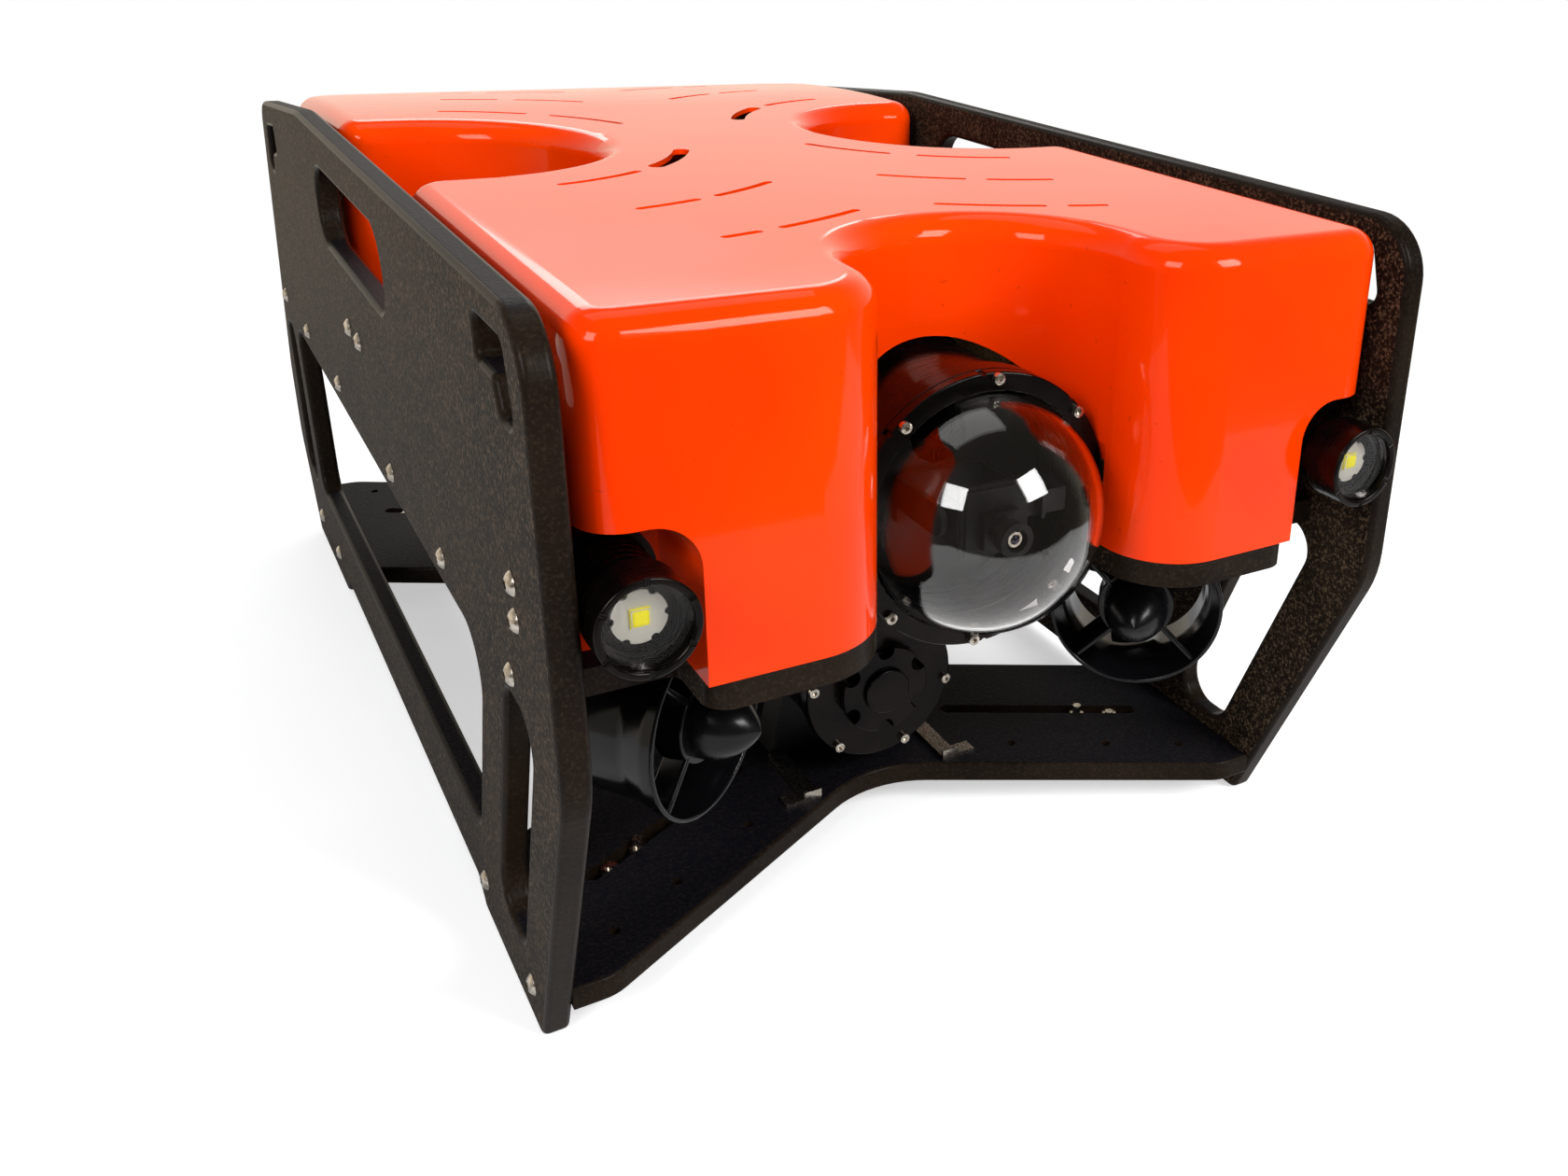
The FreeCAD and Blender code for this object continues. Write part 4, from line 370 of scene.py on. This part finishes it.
def lamp_phosphor():
    """Phosphor in silicone on the lamp's chip: the eye gets saturated yellow with a faint painted glow from
    emission.
    """
    # Painted glow: a weak yellow emission on the chip, which is no lit lamp here.
    material, tree, shader, where = new_finish("silicone_phosphor_painted_glow", {
        "IOR": 1.41, "Roughness": 0.35, "Emission Color": linear("#F7EE00"), "Emission Strength": 0.25})
    grit_mm = 1.2
    grit = add(tree, "ShaderNodeTexNoise", {"Vector": where, "Scale": scale_for(grit_mm)})
    base = add(tree, "ShaderNodeMix", {"Factor": grit, COLOUR_A: linear("#F4E800"),
                                       COLOUR_B: linear("#FFF630")}, data_type="RGBA")
    plug(tree, shader, {"Base Color": base.outputs[MIXED_COLOUR]})
    return material


STAINLESS = stainless_steel()
BLACK_ANODISED = anodised_aluminium("black_anodised_aluminium", "#1A1512", "#0D0B0B")
THRUSTER_PLASTIC = moulded_plastic("polished_black_polycarbonate", "#0A0A0C", "#1A1A1E", 0.16, 12.0, 0.05)
MOULDED_NYLON = moulded_plastic("moulded_black_nylon", "#111113", "#232326", 0.42, 0.8, 0.1)
# The lamps' windows have a blooming coat that cuts their glare, and a lower index stands for it.
ACRYLIC_INDEX, BLOOMED_INDEX = 1.49, 1.2
FINISHES = {
    "frame_sheet": embossed_polyethylene(),
    "hood_moulding": vacuum_formed_hood(),
    "stainless": STAINLESS,
    "galvanised": galvanised_steel(),
    "anodised_black": BLACK_ANODISED,
    "gland_red": anodised_aluminium("red_anodised_aluminium", "#8E1B16", "#6B100D"),
    "clear_acrylic": clear_acrylic("blown_clear_acrylic", ACRYLIC_INDEX),
    "seal_rubber": nitrile_rubber(),
    "tray_plate": MOULDED_NYLON,
    "moulded_black": MOULDED_NYLON,
    "circuit_board": circuit_board(),
    "camera_board": moulded_plastic("matt_black_camera_housing", "#0B0B0C", "#19191B", 0.5, 0.6, 0.05),
    "lamp_board": moulded_plastic("white_masked_lamp_board", "#F4F2EA", "#E6E2D4", 0.4, 3.0, 0.05),
    "printed_black": moulded_plastic("sintered_black_nylon", "#131315", "#232326", 0.62, 0.5, 0.1),
    "servo_case": moulded_plastic("moulded_servo_case", "#0F0F13", "#222226", 0.36, 0.8, 0.04),
    "foam_block": cut_foam(),
    "cell_wrap": cell_sleeve(),
    "thruster_black": THRUSTER_PLASTIC,
    "propeller_plastic": THRUSTER_PLASTIC,
    "motor_can": moulded_plastic("satin_black_motor_pod", "#0E0E10", "#1C1C20", 0.24, 9.0, 0.05),
}
for part in frame["record"]["subparts"]:
    target = nodes[part["node"]]
    target.data.materials.clear()
    target.data.materials.append(FINISHES[part["material_slot"]])
nodes["lamp_lenses"].data.materials[0] = clear_acrylic("bloomed_acrylic_window", BLOOMED_INDEX)

# ---------------------------------------------------------------- screws


def socket_screw_tree(finish):
    """Geometry Nodes: on every point, a screw whose crowned head has a hexagonal key socket.

    Each point carries the direction its head looks in and the reach of its shank.
    """
    tree = bpy.data.node_groups.new("socket_screws", "GeometryNodeTree")
    tree.interface.new_socket("Seats", in_out="INPUT", socket_type="NodeSocketGeometry")
    for size in ("Head radius", "Head height", "Crown radius", "Key radius", "Key depth", "Shank radius"):
        tree.interface.new_socket(size, in_out="INPUT", socket_type="NodeSocketFloat")
    tree.interface.new_socket("Screws", in_out="OUTPUT", socket_type="NodeSocketGeometry")
    sizes = add(tree, "NodeGroupInput").outputs
    head_sides, crown_rings, key_sides, shank_sides, roll_seed = 36, 40, 6, 16, 11

    # The head is a cylinder that stands on the seat, crowned by a ball, with the key cut into its top.
    half_height = add(tree, "ShaderNodeMath", {0: sizes["Head height"], 1: 0.5}, operation="MULTIPLY")
    lifted = add(tree, "ShaderNodeCombineXYZ", {"Z": half_height})
    blank = add(tree, "GeometryNodeMeshCylinder", {"Vertices": head_sides, "Radius": sizes["Head radius"],
                                                   "Depth": sizes["Head height"]})
    blank = add(tree, "GeometryNodeTransform", {"Geometry": blank, "Translation": lifted})
    crown_drop = add(tree, "ShaderNodeMath", {0: sizes["Head height"], 1: sizes["Crown radius"]},
                     operation="SUBTRACT")
    crown_place = add(tree, "ShaderNodeCombineXYZ", {"Z": crown_drop})
    crown = add(tree, "GeometryNodeMeshUVSphere", {"Segments": head_sides, "Rings": crown_rings,
                                                   "Radius": sizes["Crown radius"]})
    crown = add(tree, "GeometryNodeTransform", {"Geometry": crown, "Translation": crown_place})
    head = add(tree, "GeometryNodeMeshBoolean", {"Mesh 2": [blank, crown]}, operation="INTERSECT",
               solver="EXACT")
    key_length = add(tree, "ShaderNodeMath", {0: sizes["Key depth"], 1: 2.0}, operation="MULTIPLY")
    key_place = add(tree, "ShaderNodeCombineXYZ", {"Z": sizes["Head height"]})
    key = add(tree, "GeometryNodeMeshCylinder", {"Vertices": key_sides, "Radius": sizes["Key radius"],
                                                 "Depth": key_length})
    key = add(tree, "GeometryNodeTransform", {"Geometry": key, "Translation": key_place})
    head = add(tree, "GeometryNodeMeshBoolean", {"Mesh 1": head, "Mesh 2": [key]}, operation="DIFFERENCE",
               solver="EXACT")

    # The shank is one metre long below the seat, and each point's reach scales it.
    shank = add(tree, "GeometryNodeMeshCylinder", {"Vertices": shank_sides, "Radius": sizes["Shank radius"],
                                                   "Depth": 1.0})
    shank = add(tree, "GeometryNodeTransform", {"Geometry": shank, "Translation": (0, 0, -0.5)})

    # Every screw stops at its own turn of the key.
    outward = add(tree, "GeometryNodeInputNamedAttribute", {"Name": "outward"}, data_type="FLOAT_VECTOR")
    reach = add(tree, "GeometryNodeInputNamedAttribute", {"Name": "reach"}, data_type="FLOAT")
    aim = add(tree, "FunctionNodeAlignRotationToVector", {"Vector": outward}, axis="Z")
    roll = add(tree, "FunctionNodeRandomValue", {"Seed": roll_seed, RANDOM_MAX: math.tau}, data_type="FLOAT")
    twist = add(tree, "FunctionNodeAxisAngleToRotation", {"Axis": (0, 0, 1),
                                                          "Angle": roll.outputs[RANDOM_VALUE]})
    turned = add(tree, "FunctionNodeRotateRotation", {"Rotation": aim, "Rotate By": twist},
                 rotation_space="LOCAL")
    heads = add(tree, "GeometryNodeInstanceOnPoints", {"Points": sizes["Seats"], "Instance": head,
                                                       "Rotation": turned})
    stretch = add(tree, "ShaderNodeCombineXYZ", {"X": 1.0, "Y": 1.0, "Z": reach})
    shanks = add(tree, "GeometryNodeInstanceOnPoints", {"Points": sizes["Seats"], "Instance": shank,
                                                        "Rotation": turned, "Scale": stretch})
    joined = add(tree, "GeometryNodeJoinGeometry", {"Geometry": [heads, shanks]})
    solid = add(tree, "GeometryNodeRealizeInstances", {"Geometry": joined})
    finished = add(tree, "GeometryNodeSetMaterial", {"Geometry": solid, "Material": finish})
    add(tree, "NodeGroupOutput", {"Screws": finished})
    return tree


SCREW_TREE = socket_screw_tree(STAINLESS)
# The seat is where the head's underside bears, and the reach is how far the shank goes below it.
Screw = namedtuple("Screw", "seat outward head_radius head_height reach")
SCREW_CREASE = 32


def loose_solids(node_name):
    """Vertex places of each separate solid of a CAD node."""
    touching = 1e-6
    merged = bmesh.new()
    merged.from_mesh(nodes[node_name].data)
    bmesh.ops.remove_doubles(merged, verts=merged.verts, dist=touching)
    merged.verts.ensure_lookup_table()
    left = set(range(len(merged.verts)))
    solids = []
    while left:
        start = left.pop()
        reached, waiting = [start], [start]
        while waiting:
            for edge in merged.verts[waiting.pop()].link_edges:
                for vert in edge.verts:
                    if vert.index in left:
                        left.remove(vert.index)
                        reached.append(vert.index)
                        waiting.append(vert.index)
        solids.append([merged.verts[index].co.copy() for index in reached])
    merged.free()
    return solids


def screws_of(node_name, bolt_axis):
    """Measure every screw of a CAD node; its wide end, the head, tells which way it looks."""
    rim_share = 0.97
    across = [k for k in range(3) if k != bolt_axis]
    screws = []
    for places in loose_solids(node_name):
        low = Vector([min(place[k] for place in places) for k in range(3)])
        high = Vector([max(place[k] for place in places) for k in range(3)])
        middle = (low + high) / 2
        radius = (high[across[0]] - low[across[0]]) / 2
        rim = [place[bolt_axis] for place in places
               if math.hypot(*(place[k] - middle[k] for k in across)) > rim_share * radius]
        looks_high = sum(rim) / len(rim) > middle[bolt_axis]
        top, tail = (high, low) if looks_high else (low, high)
        seat, outward = middle.copy(), Vector((0, 0, 0))
        seat[bolt_axis] = min(rim) if looks_high else max(rim)
        outward[bolt_axis] = 1 if looks_high else -1
        screws.append(Screw(seat, outward, radius, abs(top[bolt_axis] - seat[bolt_axis]),
                            abs(seat[bolt_axis] - tail[bolt_axis])))
    return screws


def fit_screws(name, node_name, screws, crown_radius, key_share, key_depth_share, shank_radius):
    """Make one mesh of all the given screws and let it stand for its CAD node."""
    mesh = bpy.data.meshes.new(name + "_seats")
    mesh.from_pydata([screw.seat for screw in screws], [], [])
    for attribute, kind in (("outward", "FLOAT_VECTOR"), ("reach", "FLOAT")):
        mesh.attributes.new(attribute, kind, "POINT")
    for index, screw in enumerate(screws):
        mesh.attributes["outward"].data[index].vector = screw.outward
        mesh.attributes["reach"].data[index].value = screw.reach
    holder = mesh_object(name + "_seats", mesh)
    modifier = holder.modifiers.new("screws", "NODES")
    modifier.node_group = SCREW_TREE
    head_radius, head_height = screws[0].head_radius, screws[0].head_height
    wanted = {"Head radius": head_radius, "Head height": head_height, "Crown radius": crown_radius,
              "Key radius": head_radius * key_share, "Key depth": head_height * key_depth_share,
              "Shank radius": shank_radius}
    for item in SCREW_TREE.interface.items_tree:
        if item.in_out == "INPUT" and item.name in wanted:
            modifier[item.identifier] = wanted[item.name]
    evaluated = holder.evaluated_get(bpy.context.evaluated_depsgraph_get())
    result = bpy.data.meshes.new_from_object(evaluated)
    bpy.data.objects.remove(holder)
    result.polygons.foreach_set("material_index", [0] * len(result.polygons))
    piece = dress(name, result, STAINLESS, SCREW_CREASE, ROOT)
    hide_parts(node_name)


FRAME_SCREW = {"crown_radius": 6.2 * MM, "key_share": 0.44, "key_depth_share": 0.6, "shank_radius": 3.0 * MM}
SMALL_SCREW = {"crown_radius": 9.0 * MM, "key_share": 0.5, "key_depth_share": 0.55, "shank_radius": 1.5 * MM}
X_AXIS, Y_AXIS, Z_AXIS = range(3)

fit_screws("frame_button_screws", "side_screws", screws_of("side_screws", X_AXIS), **FRAME_SCREW)
fit_screws("dome_cap_screws", "dome_screws", screws_of("dome_screws", Y_AXIS), **SMALL_SCREW)
fit_screws("end_cap_screws", "cap_screws", screws_of("cap_screws", Y_AXIS), **SMALL_SCREW)
# The deck's screws are of two sizes: wide heads hold the thrusters' feet, narrow ones the hood's posts.
WIDE_HEAD = 4 * MM
in_deck = screws_of("deck_screws", Z_AXIS)
foot_screws = [screw for screw in in_deck if screw.head_radius > WIDE_HEAD]
post_screws = [screw for screw in in_deck if screw.head_radius < WIDE_HEAD]
fit_screws("thruster_foot_screws", "deck_screws", foot_screws, **FRAME_SCREW)
fit_screws("hood_post_screws", "deck_screws", post_screws, **SMALL_SCREW)

# ---------------------------------------------------------------- lamp chips


def lamp_chip(name, low, high, finish):
    """Square phosphor dome over a lamp's chip, its edges rolled as cast silicone is."""
    steps, squareness, rim_share, crease = 9, 6, 0.35, 40
    middle, half = (low + high) / 2, (high - low) / 2
    depth = high.y - low.y
    form = bmesh.new()
    rows = []
    for row in range(steps):
        u = 2 * row / (steps - 1) - 1
        verts = []
        for column in range(steps):
            v = 2 * column / (steps - 1) - 1
            bulge = (1 - u ** squareness) * (1 - v ** squareness)
            rise = depth * (rim_share + (1 - rim_share) * bulge)
            verts.append(form.verts.new((middle.x + half.x * u, high.y - rise, middle.z + half.z * v)))
        rows.append(verts)
    for first, second in zip(rows, rows[1:]):
        for column in range(steps - 1):
            form.faces.new((first[column], second[column], second[column + 1], first[column + 1]))
    rim = rows[0] + [row[-1] for row in rows[1:]] + rows[-1][-2::-1] + [row[0] for row in rows[-2:0:-1]]
    base = [form.verts.new((vert.co.x, high.y, vert.co.z)) for vert in rim]
    for index in range(len(rim)):
        after = (index + 1) % len(rim)
        form.faces.new((rim[index], rim[after], base[after], base[index]))
    form.faces.new(base)
    bmesh.ops.recalc_face_normals(form, faces=form.faces)
    dress(name, mesh_from(form), finish, crease, ROOT)


PHOSPHOR = lamp_phosphor()
# Each chip sits on its lamp's axis and stands a little proud of the board's front.
CHIP_HALF, CHIP_PROUD, CHIP_DEPTH = 3.9 * MM, 0.5 * MM, 1.8 * MM
chip_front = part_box("lamp_boards")[0][1] - CHIP_PROUD
for side in ("port", "starboard"):
    body_low, body_high = (Vector(corner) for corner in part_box("lamp_body_" + side))
    centre = (body_low + body_high) / 2
    lamp_chip("lamp_chip_" + side, Vector((centre.x - CHIP_HALF, chip_front, centre.z - CHIP_HALF)),
              Vector((centre.x + CHIP_HALF, chip_front + CHIP_DEPTH, centre.z + CHIP_HALF)), PHOSPHOR)

# ---------------------------------------------------------------- camera lens

ROUND_SIDES, BALL_RINGS, LENS_CREASE = 48, 32, 30
# Depths behind the barrel's tip, and radii. The retainer runs a little way into the cell.
RIM_DEPTH = 0.05 * MM
CELL_FRONT, CELL_BACK, CELL_RADIUS = 2.5 * MM, 5.9 * MM, 5.2 * MM
RETAINER_FRONT, RETAINER_OVERLAP = 1.9 * MM, 0.1 * MM
RETAINER_BACK_RADIUS, RETAINER_FRONT_RADIUS = 4.2 * MM, 3.7 * MM
GLASS_FRONT, GLASS_RADIUS = 0.6 * MM, 3.0 * MM

barrel_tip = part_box("camera")[0][1]
barrel_rim = [vert.co for vert in nodes["camera"].data.vertices if vert.co.y < barrel_tip + RIM_DEPTH]
barrel_axis = sum(barrel_rim, Vector()) / len(barrel_rim)


def in_barrel(back, front):
    """Placing for a round form about the camera barrel's axis, between two depths behind its tip."""
    middle = Matrix.Translation((barrel_axis.x, barrel_tip + (back + front) / 2, barrel_axis.z))
    return middle @ Matrix.Rotation(math.radians(90), 4, "X")


def lens_ring(name, finish, back, front, back_radius, front_radius):
    """Closed disc or cone in the camera's barrel, which tilts with it."""
    form = bmesh.new()
    bmesh.ops.create_cone(form, cap_ends=True, segments=ROUND_SIDES, radius1=back_radius,
                          radius2=front_radius, depth=back - front, matrix=in_barrel(back, front))
    dress(name, mesh_from(form), finish, LENS_CREASE, CAMERA_BODY)


def lens_ball(name, finish, front, radius):
    """Ball in the camera's barrel, which tilts with it; only its front shows, as a lens."""
    form = bmesh.new()
    bmesh.ops.create_uvsphere(form, u_segments=ROUND_SIDES, v_segments=BALL_RINGS, radius=radius,
                              matrix=in_barrel(front + 2 * radius, front))
    dress(name, mesh_from(form), finish, LENS_CREASE, CAMERA_BODY)


lens_ring("lens_cell", BLACK_ANODISED, CELL_BACK, CELL_FRONT, CELL_RADIUS, CELL_RADIUS)
lens_ring("lens_retainer", STAINLESS, CELL_FRONT + RETAINER_OVERLAP, RETAINER_FRONT,
          RETAINER_BACK_RADIUS, RETAINER_FRONT_RADIUS)
lens_ball("lens_glass", coated_glass(), GLASS_FRONT, GLASS_RADIUS)

# ---------------------------------------------------------------- stage


def studio_floor():
    """Pale sheet that shows as white backdrop, takes the vehicle's soft shadow, and is clear from below."""
    half, level, glow_strength = 0.95, -0.5 * MM, 0.52
    material, tree, shader, _ = new_finish("matt_white_floor", {
        "Roughness": 0.9, "Base Color": linear("#EFEFEF"), "Specular IOR Level": 0.1})
    path = add(tree, "ShaderNodeLightPath")
    seen, refracted = path.outputs["Is Camera Ray"], path.outputs["Is Transmission Ray"]
    in_view = add(tree, "ShaderNodeMath", {0: seen, 1: refracted}, operation="MAXIMUM")
    glow = add(tree, "ShaderNodeEmission", {"Color": WHITE, "Strength": glow_strength})
    lifted = add(tree, "ShaderNodeAddShader", {0: shader, 1: glow})
    above = add(tree, "ShaderNodeMixShader", {0: in_view, 1: shader, 2: lifted})
    below = add(tree, "ShaderNodeBsdfTransparent")
    from_below = add(tree, "ShaderNodeNewGeometry").outputs["Backfacing"]
    picked = add(tree, "ShaderNodeMixShader", {0: from_below, 1: above, 2: below})
    plug(tree, tree.nodes["Material Output"], {"Surface": picked})
    mesh = bpy.data.meshes.new("floor")
    mesh.from_pydata([(-half, -half, level), (half, -half, level), (half, half, level), (-half, half, level)],
                     [], [(0, 1, 2, 3)])
    mesh.materials.append(material)
    mesh_object("floor", mesh)


def studio_world():
    """Room that is white to the eye and dim to matt surfaces.

    What mirrors or refracts sees a warm backdrop behind the vehicle, low down, in a darker room.
    """
    backdrop_edge, backdrop_full, backdrop_top = 0.35, 0.3, 0.7
    warm, cool = (1.0, 0.9, 0.74, 1.0), (0.95, 0.97, 1.0, 1.0)
    room_share, dim_strength = 0.12, 0.28
    world = bpy.data.worlds.new("studio")
    bpy.context.scene.world = world
    world.use_nodes = True
    sky = world.node_tree
    sky.nodes.clear()
    path = add(sky, "ShaderNodeLightPath")
    direction = add(sky, "ShaderNodeSeparateXYZ", {0: add(sky, "ShaderNodeTexCoord").outputs["Generated"]})
    behind = add(sky, "ShaderNodeMapRange", {"Value": direction.outputs["Y"], "From Min": -backdrop_edge,
                                             "From Max": backdrop_edge})
    low = add(sky, "ShaderNodeMapRange", {"Value": direction.outputs["Z"], "From Min": backdrop_top,
                                          "From Max": backdrop_full})
    backdrop = add(sky, "ShaderNodeMath", {0: behind, 1: low}, operation="MULTIPLY")
    brightness = add(sky, "ShaderNodeMapRange", {"Value": backdrop, "To Min": room_share, "To Max": 1.0})
    white = add(sky, "ShaderNodeBackground", {"Color": WHITE, "Strength": 1.0})
    room = add(sky, "ShaderNodeBackground", {"Color": warm, "Strength": brightness})
    dim = add(sky, "ShaderNodeBackground", {"Color": cool, "Strength": dim_strength})
    glossy, refracted = path.outputs["Is Glossy Ray"], path.outputs["Is Transmission Ray"]
    mirrored = add(sky, "ShaderNodeMath", {0: glossy, 1: refracted}, operation="MAXIMUM")
    unseen = add(sky, "ShaderNodeMixShader", {0: mirrored, 1: dim, 2: room})
    picked = add(sky, "ShaderNodeMixShader", {0: path.outputs["Is Camera Ray"], 1: unseen, 2: white})
    add(sky, "ShaderNodeOutputWorld", {"Surface": picked})


def soft_lamp(name, place, target, width, height, power):
    """Rectangular lamp at a place, aimed at a target, all in metres, with its power in watts."""
    lamp = bpy.data.lights.new(name, "AREA")
    lamp.shape = "RECTANGLE"
    lamp.size = width
    lamp.size_y = height
    lamp.energy = power
    holder = bpy.data.objects.new(name, lamp)
    bpy.context.collection.objects.link(holder)
    holder.location = place
    holder.rotation_euler = (Vector(target) - Vector(place)).to_track_quat("-Z", "Y").to_euler()


studio_floor()
studio_world()
# The middle of the vehicle and its dome, which the lamps are aimed at.
MIDDLE, DOME = (0, 0, 0.2), (0, -0.33, 0.23)
soft_lamp("overhead_box", (0.0, 0.4, 2.4), MIDDLE, 1.8, 1.2, 8)
soft_lamp("left_window", (-1.83, -1.45, 1.51), DOME, 0.9, 0.9, 31)
soft_lamp("right_window", (0.98, -2.15, 1.63), DOME, 0.95, 0.95, 50)
soft_lamp("rear_fill", (0.6, 2.2, 1.6), MIDDLE, 1.5, 1.0, 14)

# ---------------------------------------------------------------- camera

# Radians: the turn from +Y towards +X, the dip below level, and the roll about the line of sight.
YAW, PITCH, ROLL = 0.58538, 0.38588, 0.04516
CAMERA_PLACE = Vector((-0.32174, -0.84890, 0.49454))
look = Vector((math.sin(YAW) * math.cos(PITCH), math.cos(YAW) * math.cos(PITCH), -math.sin(PITCH)))
level_right = Vector((math.cos(YAW), -math.sin(YAW), 0))
level_up = level_right.cross(look)
right = level_right * math.cos(ROLL) + level_up * math.sin(ROLL)
up = -level_right * math.sin(ROLL) + level_up * math.cos(ROLL)
turn = Matrix((right, up, -look)).transposed().to_4x4()
camera = bpy.data.cameras.new("camera")
camera.sensor_width = 36.0
camera.lens = 32.647
camera.shift_x = -0.15297
camera.shift_y = -0.0635
camera.clip_start = 0.02
view = bpy.data.objects.new("camera", camera)
bpy.context.collection.objects.link(view)
view.matrix_world = Matrix.Translation(CAMERA_PLACE) @ turn
bpy.context.scene.camera = view
bpy.context.scene.view_settings.view_transform = "Standard"
